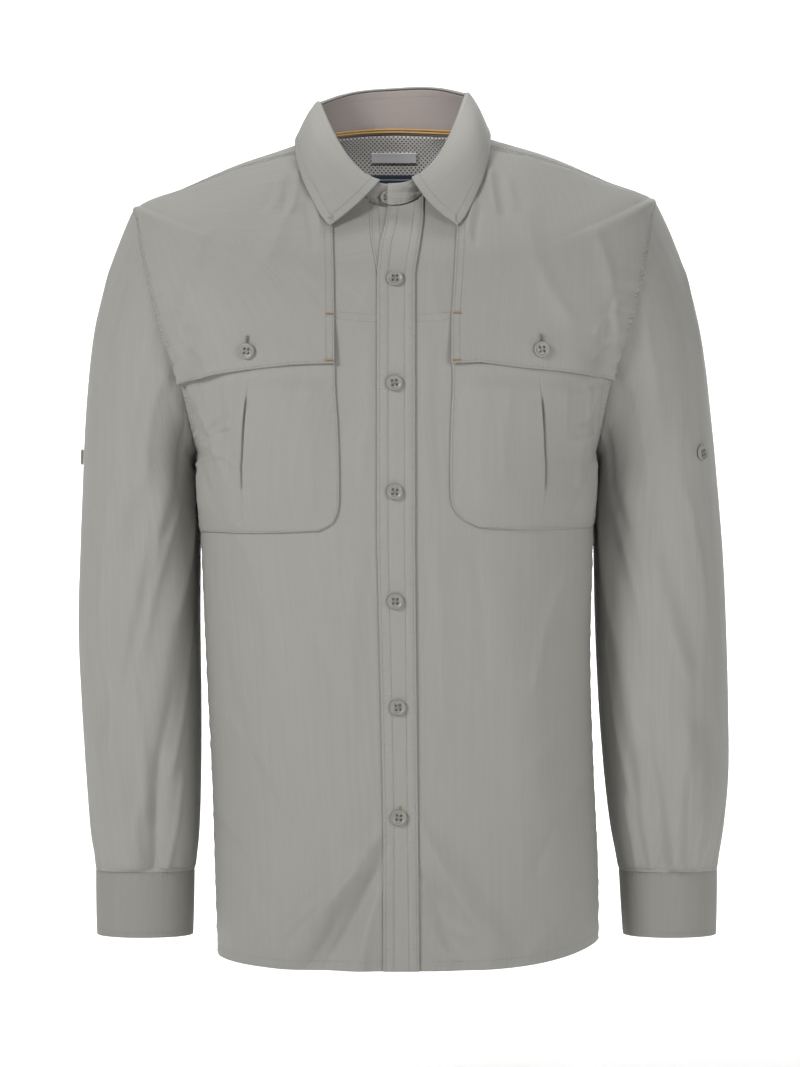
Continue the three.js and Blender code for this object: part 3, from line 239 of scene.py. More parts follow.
def readLine(rows, at, column=1):
    table = np.asarray(sorted(rows), float)
    return np.interp(at, table[:, 0], table[:, column])


# the body's surface
samples = np.linspace(0, 1, 4001)
ringTable = {name: readTable(bodyRows, samples, c) for c, name in enumerate(bodyColumns) if c and name != "side"}
rise = np.clip((samples - pitAt) / (tipAt - pitAt), 0, 1)
ringTable["side"] = np.where(
    samples <= pitAt, readTable(bodyRows[:6], samples, 2),
    np.where(samples >= tipAt, readTable(bodyRows[11:], samples, 2),
             (pitHigh + tipHigh) / 2 - (tipHigh - pitHigh) / 2 * np.cos(math.pi * rise)))
ringTable["power"] = 2 / ringTable["square"]
reach = np.maximum(np.sin(math.pi * rise), 0)
armholes = (("edgeFore", "fore", "wideFore", armholeFore), ("edgeAft", "aft", "wideAft", armholeAft))
for edge, deep, wide, most in armholes:
    ringTable[edge] = np.arccos((most * reach / ringTable[deep]) ** (1 / ringTable["power"]))
    ringTable[wide] = ringTable["half"] / np.sin(ringTable[edge]) ** ringTable["power"]


def ring(at, *names):
    at = np.clip(at, 0, 1)
    values = [np.interp(at, samples, ringTable[name]) for name in names]
    return values if len(names) > 1 else values[0]


def bodyBase(turn, at):
    turn, at = np.broadcast_arrays(np.asarray(turn, float), np.asarray(at, float))
    a = np.radians(turn)
    front = np.cos(a) >= 0
    wideFore, wideAft, fore, aft, power, half = ring(at, "wideFore", "wideAft", "fore", "aft", "power", "half")
    frontHigh, backHigh, side, tilt = ring(at, "front", "back", "side", "tilt")
    bow, shift, centre = ring(at, "bow", "shift", "centre")
    sine, cosine = np.sin(a), np.cos(a)
    x = np.sign(sine) * np.where(front, wideFore, wideAft) * np.abs(sine) ** power
    y = np.where(front, -fore, aft) * np.abs(cosine) ** power
    share = np.abs(x) / half
    middle = np.where(front, frontHigh, backHigh)
    z = side + (middle - side) * (1 - np.minimum(share, 1.3) ** bow) + tilt * np.clip(x / half, -1.2, 1.2) ** 3
    return np.stack([shift + x, centre + y, z], -1)


def unit(v):
    return v / np.maximum(np.linalg.norm(v, axis=-1, keepdims=True), 1e-9)


def facing(turn, at, dTurn=0.6, dAt=0.004):
    across = bodyBase(turn + dTurn, at) - bodyBase(turn - dTurn, at)
    along = bodyBase(turn, np.minimum(1, at + dAt)) - bodyBase(turn, np.maximum(0, at - dAt))
    return unit(np.cross(across, along))


def foldHigh(rows, x, z, power=2.0):
    total = np.zeros(np.shape(x))
    for x0, z0, x1, z1, wide, high, bow in rows:
        dx, dz = x1 - x0, z1 - z0
        long = math.hypot(dx, dz)
        s = ((x - x0) * dx + (z - z0) * dz) / (long * long)
        c = np.clip(s, 0, 1)
        bend = bow * np.sin(math.pi * c)
        away = np.hypot(x - x0 - c * dx + bend * dz / long, z - z0 - c * dz - bend * dx / long) / wide
        total += high * np.exp(-away ** power) * ease(np.minimum(s + 0.2, 1.2 - s) * 3)
    return total


def wander(v, pitch, seed):
    # an uneven wave, so that puckers are never evenly spaced
    t = 2 * math.pi * v / pitch
    return (np.sin(t + 1.9 * np.sin(t * 0.23 + seed)) + 0.5 * np.sin(t * 0.61 + 2.3 * seed)) / 1.5


def frontEdge(at):
    return np.where(at <= tipAt, np.degrees(ring(at, "edgeFore")),
                    90 - (90 - yokeFrontAngle) * np.clip((at - tipAt) / (1 - tipAt), 0, 1) ** 0.6)


def backEdge(at):
    return np.where(at <= tipAt, 180 - np.degrees(ring(at, "edgeAft")), frontEdge(at))


creaseLook = {"strength": 2.0, "seamPucker": 0.55, "pocketPucker": 0.75, "pocketHigh": -182, "puckerPitch": 12.5,
              "puckerReach": 6, "puckerMost": 1.3, "hemPucker": 0.4, "hemPitch": 13}


def fineHigh(turn, at, p):
    look = creaseLook
    around = np.mod(turn, 360)
    fromFront = np.minimum(around, 360 - around)
    onFrontSide = fromFront <= 90
    room = np.where(onFrontSide, frontEdge(at) - fromFront, fromFront - backEdge(at))
    x, y, z = p[..., 0], p[..., 1], p[..., 2]
    creases = np.where(onFrontSide, foldHigh(frontCreases, x, z, 1.5), foldHigh(backCreases, x, z, 1.5))
    # about 2.2 mm of cloth to a degree beside the armhole and side seams
    seamRoom = np.maximum(room, 0) * 2.2 / look["puckerReach"]
    drawn = look["seamPucker"] + look["pocketPucker"] * np.exp(-((z - look["pocketHigh"]) / 46) ** 2) * onFrontSide
    pucker = drawn * seamRoom * np.exp(1 - seamRoom) * wander(z + 0.3 * y, look["puckerPitch"], 1.3)
    hem = np.maximum(z - bodyBase(turn, 0)[..., 2], 0)
    hemPucker = look["hemPucker"] * np.exp(-((hem - 8) / 6) ** 2) * wander(x + y * 0.8, look["hemPitch"], 2.1)
    pucker = np.clip(pucker, -look["puckerMost"], look["puckerMost"])
    return ease(room / 8) * look["strength"] * creases + pucker + hemPucker


def bodySkin(turn, at, off=0.0, fine=True):
    turn, at = np.broadcast_arrays(np.asarray(turn, float), np.asarray(at, float))
    p = bodyBase(turn, at)
    n = facing(turn, at)
    x, z = p[..., 0], p[..., 2]
    folds = np.where(np.abs(turn) > 90, foldHigh(backFolds, x, z), foldHigh(frontFolds, x, z))
    high = ease((172 - np.abs(x)) / 30) * folds
    if fine:
        high = high + fineHigh(turn, at, p)
    return p + n * (off + high)[..., None]


def turnAt(x, at, front=True):
    wide, power, shift = ring(at, "wideFore" if front else "wideAft", "power", "shift")
    a = np.degrees(np.arcsin(np.clip(np.abs(x - shift) / wide, 0, 1) ** (1 / power)))
    signed = np.sign(x - shift) * a
    return signed if front else np.where(signed < 0, -180, 180) - signed


def ringAt(x, z, front=True):
    x, z = np.broadcast_arrays(np.asarray(x, float), np.asarray(z, float))
    lo, hi = np.zeros(x.shape), np.ones(x.shape)
    for k in range(26):
        mid = (lo + hi) / 2
        low = bodyBase(turnAt(x, mid, front), mid)[..., 2] < z
        lo, hi = np.where(low, mid, lo), np.where(low, hi, mid)
    return (lo + hi) / 2


chestSeamAt = float(ringAt(0, chestSeamHigh))
yokeSeamAt = float(ringAt(0, yokeBackHigh, False))


# grids and shells
def lengthsAlong(grid, axis):
    step = np.linalg.norm(np.diff(grid, axis=axis), axis=-1)
    start = np.zeros_like(np.take(step, [0], axis=axis))
    return np.concatenate([start, np.cumsum(step, axis=axis)], axis=axis)


def evenAts(lo, hi, turn, step=gridSteps["body"]):
    many = np.linspace(lo, hi, 500)
    long = lengthsAlong(bodyBase(turn(many), many)[:, None, :], 0)[:, 0]
    n = max(4, int(long[-1] / step))
    return np.interp(np.linspace(0, long[-1], n + 1), long, many)


def evenTurns(first, last, at, step=gridSteps["body"]):
    share = np.linspace(0, 1, 161)
    turns = first[:, None] + (last - first)[:, None] * share
    long = lengthsAlong(bodyBase(turns, at[:, None] * np.ones_like(turns)), 1)
    n = max(4, int(np.median(long[:, -1]) / step))
    want = np.linspace(0, 1, n + 1)
    return np.stack([np.interp(want * long[i, -1], long[i], turns[i]) for i in range(len(at))])


def drawBack(grid, amount, edges):
    grid = grid.copy()
    lines = {"first": (0, 1), "last": (-1, -2)}
    columns = {"left": (0, 1), "right": (-1, -2)}
    for edge in edges.split():
        if edge in lines:
            at, beside = lines[edge]
            grid[at] += unit(grid[beside] - grid[at]) * amount
    for edge in edges.split():
        if edge in columns:
            at, beside = columns[edge]
            grid[:, at] += unit(grid[:, beside] - grid[:, at]) * amount
    return grid


def nearLines(grid, amount, closed):
    # one more line close to each border, which keeps the rounded rim small
    def insert(g):
        first = g[:1] + unit(g[1:2] - g[:1]) * amount
        last = g[-1:] + unit(g[-2:-1] - g[-1:]) * amount
        return np.concatenate([g[:1], first, g[1:-1], last, g[-1:]], 0)
    grid = insert(grid)
    return grid if closed else insert(grid.swapaxes(0, 1)).swapaxes(0, 1)


def gridNormals(grid, closed=False):
    if closed:
        du = np.roll(grid, -1, 1) - np.roll(grid, 1, 1)
    else:
        du = np.gradient(grid, axis=1)
    return unit(np.cross(du, np.gradient(grid, axis=0)))


def makeMesh(name, points, quads, uvs, uvQuads, seams):
    a, b, c, d = (points[quads[:, k]] for k in range(4))
    volume = np.einsum("ij,ij->i", a, np.cross(b, c)).sum() + np.einsum("ij,ij->i", a, np.cross(c, d)).sum()
    if volume < 0:
        quads, uvQuads = quads[:, ::-1], uvQuads[:, ::-1]
    mesh = bpy.data.meshes.new(name)
    mesh.from_pydata((points * 0.001).tolist(), [], quads.tolist())
    layer = mesh.uv_layers.new(name="cloth")
    layer.data.foreach_set("uv", (uvs[uvQuads.ravel()] * 0.001).ravel())
    layer = mesh.uv_layers.new(name="seam")
    layer.data.foreach_set("uv", (seams[uvQuads.ravel()] * 0.001).ravel())
    mesh.polygons.foreach_set("use_smooth", [True] * len(mesh.polygons))
    mesh.update()
    piece = bpy.data.objects.new(name, mesh)
    bpy.context.scene.collection.objects.link(piece)
    return piece


grids = {}


def makeShell(name, outer, inner, closed=False, turned=False, sewn=None, rim=0.35):
    outer, inner = nearLines(outer, 0.7, closed), nearLines(inner, 0.7, closed)
    rows, cols = outer.shape[:2]
    wrapped = np.concatenate([outer, outer[:, :1]], 1) if closed else outer
    across = lengthsAlong(wrapped, 1)
    middle = across.shape[1] // 2
    along = lengthsAlong(wrapped[:, middle:middle + 1], 0)
    start = 0 if closed else wrapped[:, middle:middle + 1, 0]
    uv = np.stack([across - across[:, middle:middle + 1] + start, np.broadcast_to(along, across.shape)], -1)
    if turned:
        uv = uv[..., ::-1] + np.array([37.0, 0])
    uvCols = uv.shape[1]
    # distance from the nearest sewn edge, place along it, and how hard the stitches pull there
    down = lengthsAlong(wrapped, 0)
    ways = {"left": (across, down), "right": (across[:, -1:] - across, down),
            "first": (down, across), "last": (down[-1:] - down, across)}
    near = np.full(across.shape, 900.0)
    place, pull = np.zeros(across.shape), np.zeros(across.shape)
    for edge, strength in (sewn or {}).items():
        away, beside = ways[edge]
        closer = away < near
        near, place = np.where(closer, away, near), np.where(closer, beside, place)
        pull = np.where(closer, strength, pull)
    seam = np.stack([near, place], -1)

    def border(o, i, further):
        return (o + i) / 2 + unit(o - further) * rim * np.linalg.norm(o - i, axis=-1, keepdims=True)

    points = [outer.reshape(-1, 3), inner.reshape(-1, 3)]
    base = rows * cols
    ids = np.arange(base).reshape(rows, cols)
    uvIds = np.arange(rows * uvCols).reshape(rows, uvCols)
    if closed:
        ids = np.concatenate([ids, ids[:, :1]], 1)
    quads, uvQuads = [], []

    def sheetOf(grid, back):
        q = np.stack([grid[:-1, :-1], grid[:-1, 1:], grid[1:, 1:], grid[1:, :-1]], -1).reshape(-1, 4)
        return q[:, ::-1] if back else q

    quads += [sheetOf(ids, False), sheetOf(ids + base, True)]
    uvQuads += [sheetOf(uvIds, False), sheetOf(uvIds, True)]
    # the rim: one line of points halfway, pushed out a little, all round
    if closed:
        loops = [(ids[0, :-1], uvIds[0], border(outer[0], inner[0], outer[1]), False),
                 (ids[-1, :-1], uvIds[-1], border(outer[-1], inner[-1], outer[-2]), True)]
    else:
        way = [(0, j) for j in range(cols)] + [(i, cols - 1) for i in range(1, rows)]
        way += [(rows - 1, j) for j in range(cols - 2, -1, -1)] + [(i, 0) for i in range(rows - 2, 0, -1)]
        way = np.array(way)
        inward = np.stack([np.clip(way[:, 0], 1, rows - 2), np.clip(way[:, 1], 1, cols - 2)], 1)
        o, i = outer[way[:, 0], way[:, 1]], inner[way[:, 0], way[:, 1]]
        further = outer[inward[:, 0], inward[:, 1]]
        uvEdge = np.append(uvIds[way[:, 0], way[:, 1]], uvIds[0, 0])
        loops = [(ids[way[:, 0], way[:, 1]], uvEdge, border(o, i, further), False)]
    count = 2 * base
    for edge, uvEdge, mids, flip in loops:
        n = len(edge)
        mid = count + np.arange(n)
        count += n
        points.append(mids)
        nextEdge, nextMid = np.roll(edge, -1), np.roll(mid, -1)
        u0, u1 = uvEdge[:n], uvEdge[1:n + 1]
        up = np.stack([nextEdge, edge, mid, nextMid], 1)
        down = np.stack([nextMid, mid, edge + base, nextEdge + base], 1)
        uvUp = np.stack([u1, u0, u0, u1], 1)
        if flip:
            up, down, uvUp = up[:, ::-1], down[:, ::-1], uvUp[:, ::-1]
        quads += [up, down]
        uvQuads += [uvUp, uvUp]
    piece = makeMesh(name, np.concatenate(points), np.concatenate(quads), uv.reshape(-1, 2), np.concatenate(uvQuads),
                     seam.reshape(-1, 2))
    pull = pull[:, :cols].ravel()
    pull = np.concatenate([pull, pull, np.zeros(len(piece.data.vertices) - 2 * base)])
    piece.data.attributes.new("pull", "FLOAT", "POINT").data.foreach_set("value", pull)
    return piece, len(quads[0])


def flatSize(outer, closed=False):
    grid = np.concatenate([outer, outer[:, :1]], 1) if closed else outer
    width = lengthsAlong(grid, 1)[:, -1].max()
    long = lengthsAlong(grid, 0)[-1].max()
    a, b, c, d = grid[:-1, :-1], grid[:-1, 1:], grid[1:, 1:], grid[1:, :-1]
    halves = [np.cross(b - a, c - a), np.cross(c - a, d - a)]
    area = sum(np.linalg.norm(half, axis=-1).sum() for half in halves) / 2
    return width * 1e-3, long * 1e-3, min(area * 1e-6, width * long * 0.999e-6)


def finishCloth(name, outer, inner, material, closed=False, turned=False,
                sewn=None, inside=None):
    grids[name] = (outer, inner)
    piece, count = makeShell(name + "_cloth", outer, inner, closed, turned, sewn)
    piece.data.materials.append(material)
    if inside:
        piece.data.materials.append(inside)
        index = np.zeros(len(piece.data.polygons), int)
        index[count:2 * count] = 1
        piece.data.polygons.foreach_set("material_index", index)
    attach(piece, "root")
    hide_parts(name)
    width, long, area = flatSize(outer, closed)


def panelGrids(turns, ats, off=0.0, wall=clothWall, edges="", lift=0.0):
    outer = drawBack(bodySkin(turns, ats, off + lift), 0.15, edges)
    inner = drawBack(bodySkin(turns, ats, off + lift - wall), 0.15, edges)
    return outer, inner


# shader helpers
class Value:
    def __init__(self, tree, socket):
        self.tree, self.socket = tree, socket

    def maths(self, operation, other=None, first=False):
        node = self.tree.nodes.new("ShaderNodeMath")
        node.operation = operation
        pair = [self] if other is None else ([other, self] if first else [self, other])
        for k, item in enumerate(pair):
            if isinstance(item, Value):
                self.tree.links.new(item.socket, node.inputs[k])
            else:
                node.inputs[k].default_value = item
        return Value(self.tree, node.outputs[0])

    def __add__(self, other):
        return self.maths("ADD", other)

    def __radd__(self, other):
        return self.maths("ADD", other)

    def __sub__(self, other):
        return self.maths("SUBTRACT", other)

    def __rsub__(self, other):
        return self.maths("SUBTRACT", other, True)

    def __mul__(self, other):
        return self.maths("MULTIPLY", other)

    def __truediv__(self, other):
        return self.maths("DIVIDE", other)

    def __pow__(self, other):
        return self.maths("POWER", other)


class Finish:
    def __init__(self, name):
        self.material = bpy.data.materials.new(name)
        self.material.use_nodes = True
        self.tree = self.material.node_tree
        self.shader = self.tree.nodes["Principled BSDF"]

    def node(self, kind, settings=None, inputs=None):
        node = self.tree.nodes.new(kind)
        for key, value in (settings or {}).items():
            setattr(node, key, value)
        for key, value in (inputs or {}).items():
            if isinstance(value, Value):
                self.tree.links.new(value.socket, node.inputs[key])
            elif hasattr(value, "is_output"):
                self.tree.links.new(value, node.inputs[key])
            else:
                node.inputs[key].default_value = value
        return node

    def value(self, socket):
        return Value(self.tree, socket)

    def noise(self, vector, scale, detail=3.0, rough=0.55):
        inputs = {"Vector": vector, "Scale": scale, "Detail": detail, "Roughness": rough}
        node = self.node("ShaderNodeTexNoise", {}, inputs)
        return self.value(node.outputs["Fac"])

    def stretched(self, vector, factors):
        return self.node("ShaderNodeMapping", {}, {"Vector": vector, "Scale": factors}).outputs["Vector"]

    def put(self, key, item):
        if isinstance(item, Value):
            self.tree.links.new(item.socket, self.shader.inputs[key])
        elif hasattr(item, "is_output"):
            self.tree.links.new(item, self.shader.inputs[key])
        else:
            self.shader.inputs[key].default_value = item


def linear(colour):
    shares = [c / 255 for c in colour]
    return tuple(s / 12.92 if s <= 0.04045 else ((s + 0.055) / 1.055) ** 2.4 for s in shares) + (1.0,)


def shaded(colour, share):
    return tuple(min(1, c * share) for c in linear(colour)[:3]) + (1,)


def wave(value, pitch):
    return (value * (2 * math.pi / pitch)).maths("SINE")


def bell(value, middle, wide):
    return (((value - middle) / wide) ** 2.0 * -1).maths("EXPONENT")


def mixColours(finish, factor, a, b):
    node = finish.node("ShaderNodeMix", {"data_type": "RGBA"}, {})
    finish.tree.links.new(factor.socket, node.inputs[0])
    for key, item in ((6, a), (7, b)):
        if hasattr(item, "is_output"):
            finish.tree.links.new(item, node.inputs[key])
        else:
            node.inputs[key].default_value = item
    return node.outputs[2]


# everything in a material is in metres
clothLook = {"colour": (160, 159, 154), "slubShade": 0.035, "roughness": 0.74, "sheen": 0.04, "crinkle": 0.00016,
             "weavePitch": 0.00045, "weaveHigh": 0.000012, "slubHigh": 0.00006,
             "ripplePitch": 0.0050, "rippleHigh": 0.00030, "rippleWide": 0.0026, "rippleFromEdge": 0.0034,
             "grooveFromEdge": 0.0016, "grooveWide": 0.0006, "grooveDeep": 0.00010}


def makeFabric(name, colour, crinkle=1.0, slub=1.0):
    look = clothLook
    finish = Finish(name)
    place = finish.node("ShaderNodeUVMap", {"uv_map": "cloth"}).outputs["UV"]
    # slub yarns run down the cloth, thin and long, in two sizes
    thin = finish.noise(finish.stretched(place, (900, 22, 1)), 1.0, 2.0)
    broad = finish.noise(finish.stretched(place, (260, 7, 1)), 1.0, 3.0)
    patch = finish.noise(place, 9.0, 4.0)
    streak = (thin - 0.5) * 0.9 + (broad - 0.5) * 1.1 + (patch - 0.5) * 0.5
    shade = finish.node("ShaderNodeMapRange", {}, {"Value": streak, "From Min": -0.35, "From Max": 0.35})
    slubShade = look["slubShade"] * slub
    dark, pale = shaded(colour, 1 - slubShade), shaded(colour, 1 + slubShade)
    finish.put("Base Color", mixColours(finish, finish.value(shade.outputs["Result"]), dark, pale))
    finish.put("Roughness", (thin - 0.5) * 0.12 + look["roughness"])
    finish.put("Sheen Weight", look["sheen"])
    finish.put("Sheen Roughness", 0.45)
    finish.put("Specular IOR Level", 0.35)
    # plain weave, and the light crinkle of a fabric that has been folded
    parts = finish.node("ShaderNodeSeparateXYZ", {}, {"Vector": place})
    warp, weft = (wave(finish.value(parts.outputs[axis]), look["weavePitch"]) for axis in "XY")
    weave = warp * weft * look["weaveHigh"] + (thin - 0.5) * look["slubHigh"]
    crease = finish.noise(finish.stretched(place, (95, 17, 1)), 1.0, 3.0, 0.6)
    fold = ((crease - 0.5).maths("ABSOLUTE") * -2 + 1) ** 2.0
    soft = finish.noise(finish.stretched(place, (40, 12, 1)), 1.0, 2.0)
    crinkle = crinkle * look["crinkle"]
    height = weave + fold * (crinkle * 0.5) + (soft - 0.5) * (crinkle * 3)
    # the stitches of a sewn edge draw the cloth into small ripples
    edge = finish.node("ShaderNodeUVMap", {"uv_map": "seam"}).outputs["UV"]
    seam = finish.node("ShaderNodeSeparateXYZ", {}, {"Vector": edge})
    away, beside = (finish.value(seam.outputs[axis]) for axis in "XY")
    spot = finish.node("ShaderNodeCombineXYZ", {}, {"X": beside, "Y": away * 0.3}).outputs["Vector"]
    uneven = finish.noise(spot, 70.0, 2.0)
    pull = finish.value(finish.node("ShaderNodeAttribute", {"attribute_name": "pull"}).outputs["Fac"])
    ripple = (beside * (2 * math.pi / look["ripplePitch"]) + uneven * 14).maths("SINE")
    ripple = ripple * bell(away, look["rippleFromEdge"], look["rippleWide"])
    groove = bell(away, look["grooveFromEdge"], look["grooveWide"])
    height = height + (ripple * uneven * (2 * look["rippleHigh"]) - groove * look["grooveDeep"]) * pull
    bump = finish.node("ShaderNodeBump", {}, {"Height": height, "Strength": 1.0, "Distance": 1.0})
    finish.put("Normal", bump.outputs["Normal"])
    return finish.material


shirtCloth = makeFabric("shirtCloth", clothLook["colour"], 0.8)
sleeveCloth = makeFabric("sleeveCloth", (161, 160, 155), 1.5, 1.2)
bandCloth = makeFabric("bandCloth", (161, 160, 155), 0.5, 0.7)
cuffCloth = makeFabric("cuffCloth", (149, 147, 141), 0.6)
innerBandCloth = makeFabric("innerBandCloth", (156, 147, 143), 0.35, 0.7)
print("fabrics ready")


# fronts
def overlayTurn(tag, side, at):
    high = bodyBase(turnAt(side * 52, at), at)[..., 2]
    return turnAt(readLine(flapInner[tag], high), at)


def frontStart(side, at):
    high = bodyBase(side * 8.0, at)[..., 2]
    inner = readLine(bandRows, high, 2) - 2.2 if side > 0 else readLine(underBandRows, high, 1)
    return turnAt(inner, at)


def overlaySink(side, turn, at, p):
    # the overlay is sewn into the armhole seam, so both layers dip there above the flap
    edge = bodyBase(side * frontEdge(at) + 0 * turn, at + 0 * turn)
    away = np.linalg.norm(p - edge, axis=-1)
    return 1.25 * (1 - ease(away / 16)) * ease((p[..., 2] + 206) / 14), away


sides = (("r", -1), ("l", 1))
frontParts = (("lower", 0, chestSeamAt, "last left right", "front_{}_upper", {"right": 1.0, "first": 0.35}),
              ("upper", chestSeamAt, 1, "first last left right", "yoke", {"first": 0.3}))
for tag, side in sides:
    for part, lo, hi, edges, above, sewn in frontParts:
        ats = evenAts(lo, hi, lambda at: side * 35 + 0 * at, gridSteps["frontDown"])
        turns = evenTurns(frontStart(side, ats), side * frontEdge(ats), ats, gridSteps["frontAcross"])
        sink, away = overlaySink(side, turns, ats[:, None], bodyBase(turns, ats[:, None]))
        outer, inner = panelGrids(turns, ats[:, None], edges=edges, lift=-sink)
        finishCloth(f"front_{tag}_{part}", outer, inner, shirtCloth, sewn=sewn)

# back, yoke and its mesh lining
ats = evenAts(0, yokeSeamAt, lambda at: 180 + 0 * at)
edge = backEdge(ats)
outer, inner = panelGrids(evenTurns(edge, 360 - edge, ats), ats[:, None], edges="last left right")
finishCloth("back", outer, inner, shirtCloth,
            sewn={"left": 1.0, "right": 1.0, "first": 0.35, "last": 0.4})

ats = evenAts(yokeSeamAt, 1, lambda at: 150 + 0 * at, gridSteps["yokeDown"])
edge = backEdge(ats)
turns = evenTurns(edge, 360 - edge, ats, gridSteps["yokeAcross"])
outer, inner = panelGrids(turns, ats[:, None], edges="first last left right")
finishCloth("yoke", outer, inner, shirtCloth, sewn={"left": 0.6, "right": 0.6, "first": 0.5})

# the holes are in metres, the wall and its gap from the yoke in millimetres. The dark is painted shade seen through the
# holes, and the colour is painted light: it is set lighter than the lining's own tone to make up for the little light
# inside the neck
liningLook = {"pitch": 0.0039, "round": 0.0008, "colour": (226, 222, 219), "dark": (90, 84, 82),
              "wall": 1.0, "gap": 0.5}


def makeMeshLining():
    holes = liningLook
    finish = Finish("liningMesh")
    place = finish.node("ShaderNodeUVMap", {"uv_map": "cloth"}).outputs["UV"]
    parts = finish.node("ShaderNodeSeparateXYZ", {}, {"Vector": place})
    u = finish.value(parts.outputs["X"]) / holes["pitch"]
    v = finish.value(parts.outputs["Y"]) / (holes["pitch"] * 0.6)
    row = v.maths("FLOOR")
    offset = (row * 0.5).maths("FRACT")
    du = (u + offset).maths("FRACT") - 0.5
    dv = (v.maths("FRACT") - 0.5) * 0.6
    away = (du * du + dv * dv).maths("SQRT") * holes["pitch"]
    mask = finish.node("ShaderNodeMapRange", {"interpolation_type": "SMOOTHSTEP"},
                       {"Value": away, "From Min": holes["round"] * 0.75, "From Max": holes["round"] * 1.25})
    solid = finish.value(mask.outputs["Result"])
    # painted shade and light: the holes get a dark colour for the shade seen through them, and the mesh a colour
    # lighter than its own to stand in for light inside the neck
    finish.put("Base Color", mixColours(finish, solid, linear(holes["dark"]), linear(holes["colour"])))
    finish.put("Roughness", 0.8)
    finish.put("Sheen Weight", 0.15)
    yarn = finish.noise(place, 1500.0, 2.0)
    height = solid * 0.0004 + yarn * 0.00005
    bump = finish.node("ShaderNodeBump", {}, {"Height": height, "Strength": 1.0, "Distance": 1.0})
    finish.put("Normal", bump.outputs["Normal"])
    return finish.material


# the lining shows over the middle of the yoke, and stops a ninth of its width from each edge
trim = (360 - 2 * edge) * 2 / 18
turns = evenTurns(edge + trim, 360 - edge - trim, ats, gridSteps["lining"])
outer, inner = panelGrids(turns, ats[:, None], -clothWall - liningLook["gap"], liningLook["wall"], "first last")
finishCloth("yoke_lining", outer, inner, makeMeshLining())

# button bands
bandLook = {"top": 0.9965, "step": 3.2, "lines": 22, "puff": 0.4, "edgeStitch": 1.8, "innerStitch": 9.0, "pucker": 0.25,
            "puckerPitch": 11}
ats = evenAts(0, bandLook["top"], lambda at: 0 * at, bandLook["step"])
high = bodyBase(0, ats)[:, 2]
bandParts = (("placket_under", underBandRows, 0, clothWall, "last left", shirtCloth, "front_r_lower"),
             ("placket_over", bandRows, laidGap + stiffWall, stiffWall, "last", bandCloth, "placket_under"))
for name, table, off, wall, edges, material, below in bandParts:
    left, right = readLine(table, high, 1), readLine(table, high, 2)
    share = np.linspace(0, 1, bandLook["lines"])
    x = left[:, None] + (right - left)[:, None] * share
    fromEdge = np.minimum(x - left[:, None], right[:, None] - x)
    lift = 0.0
    if name == "placket_over":
        span = bandLook["innerStitch"] - bandLook["edgeStitch"]
        lift = bandLook["puff"] * np.sin(math.pi * np.clip((fromEdge - bandLook["edgeStitch"]) / span, 0, 1))
        pucker = bandLook["pucker"] * wander(high, bandLook["puckerPitch"], 0.7)[:, None]
        lift = lift + pucker * np.exp(-((fromEdge - 2) / 3) ** 2)
    outer, inner = panelGrids(turnAt(x, ats[:, None]), ats[:, None], off, wall, edges, lift)
    finishCloth(name, outer, inner, material, sewn={"left": 0.35, "right": 0.35})

# chest overlays that end as the pocket flaps
# open: where the free edge stands open most, as its x, half width and height
flapLook = {"lines": 96, "rows": 104, "roll": 0.5, "rollPitch": 46, "edgeRoll": 0.35,
            "open": {"r": (-168, 17, 3.2), "l": (158, 18, 1.8)}}
for tag, side in sides:

    def turnOf(at, share):
        first = overlayTurn(tag, side, at)
        return first + (side * frontEdge(at) - first) * share

    # even spacing across, found once at the height of the flap
    many = np.linspace(0, 1, 200)
    long = lengthsAlong(bodyBase(turnOf(np.full(200, 0.78), many), np.full(200, 0.78))[None], 1)[0]
    across = np.interp(np.linspace(0, long[-1], flapLook["lines"]), long, many)
    edgeAt = np.full(len(across), 0.8)
    for k in range(10):
        x = bodyBase(turnOf(edgeAt, across), edgeAt)[:, 0]
        edgeAt = ringAt(x, readLine(flapLower[tag], x))
    down = np.linspace(0, 1, flapLook["rows"])
    ats = edgeAt[None, :] + (1 - edgeAt[None, :]) * down[:, None]
    turns = turnOf(ats, across[None, :])
    p = bodyBase(turns, ats)
    over = p[..., 2] - readLine(flapLower[tag], p[..., 0])
    sink, away = overlaySink(side, turns, ats, p)
    lift = flapLift * ease(1 - over / flapRise)
    roll = flapLook["roll"] * wander(p[..., 0], flapLook["rollPitch"], side) * ease(1 - over / 26)
    lift = lift + roll + flapLook["edgeRoll"] * ease(1 - over / 10)
    openAt, openWide, openHigh = flapLook["open"][tag]
    lift = lift + openHigh * np.exp(-((p[..., 0] - openAt) / openWide) ** 2) * ease(1 - over / 24)
    lift = 0.15 + lift * ease(away / 6) - sink
    outer, inner = panelGrids(turns, ats, off=laidGap + clothWall, edges="last right", lift=lift)
    finishCloth(f"flap_{tag}", outer, inner, shirtCloth,
                sewn={"right": 1.0, "left": 0.3, "first": 0.3, "last": 0.5})

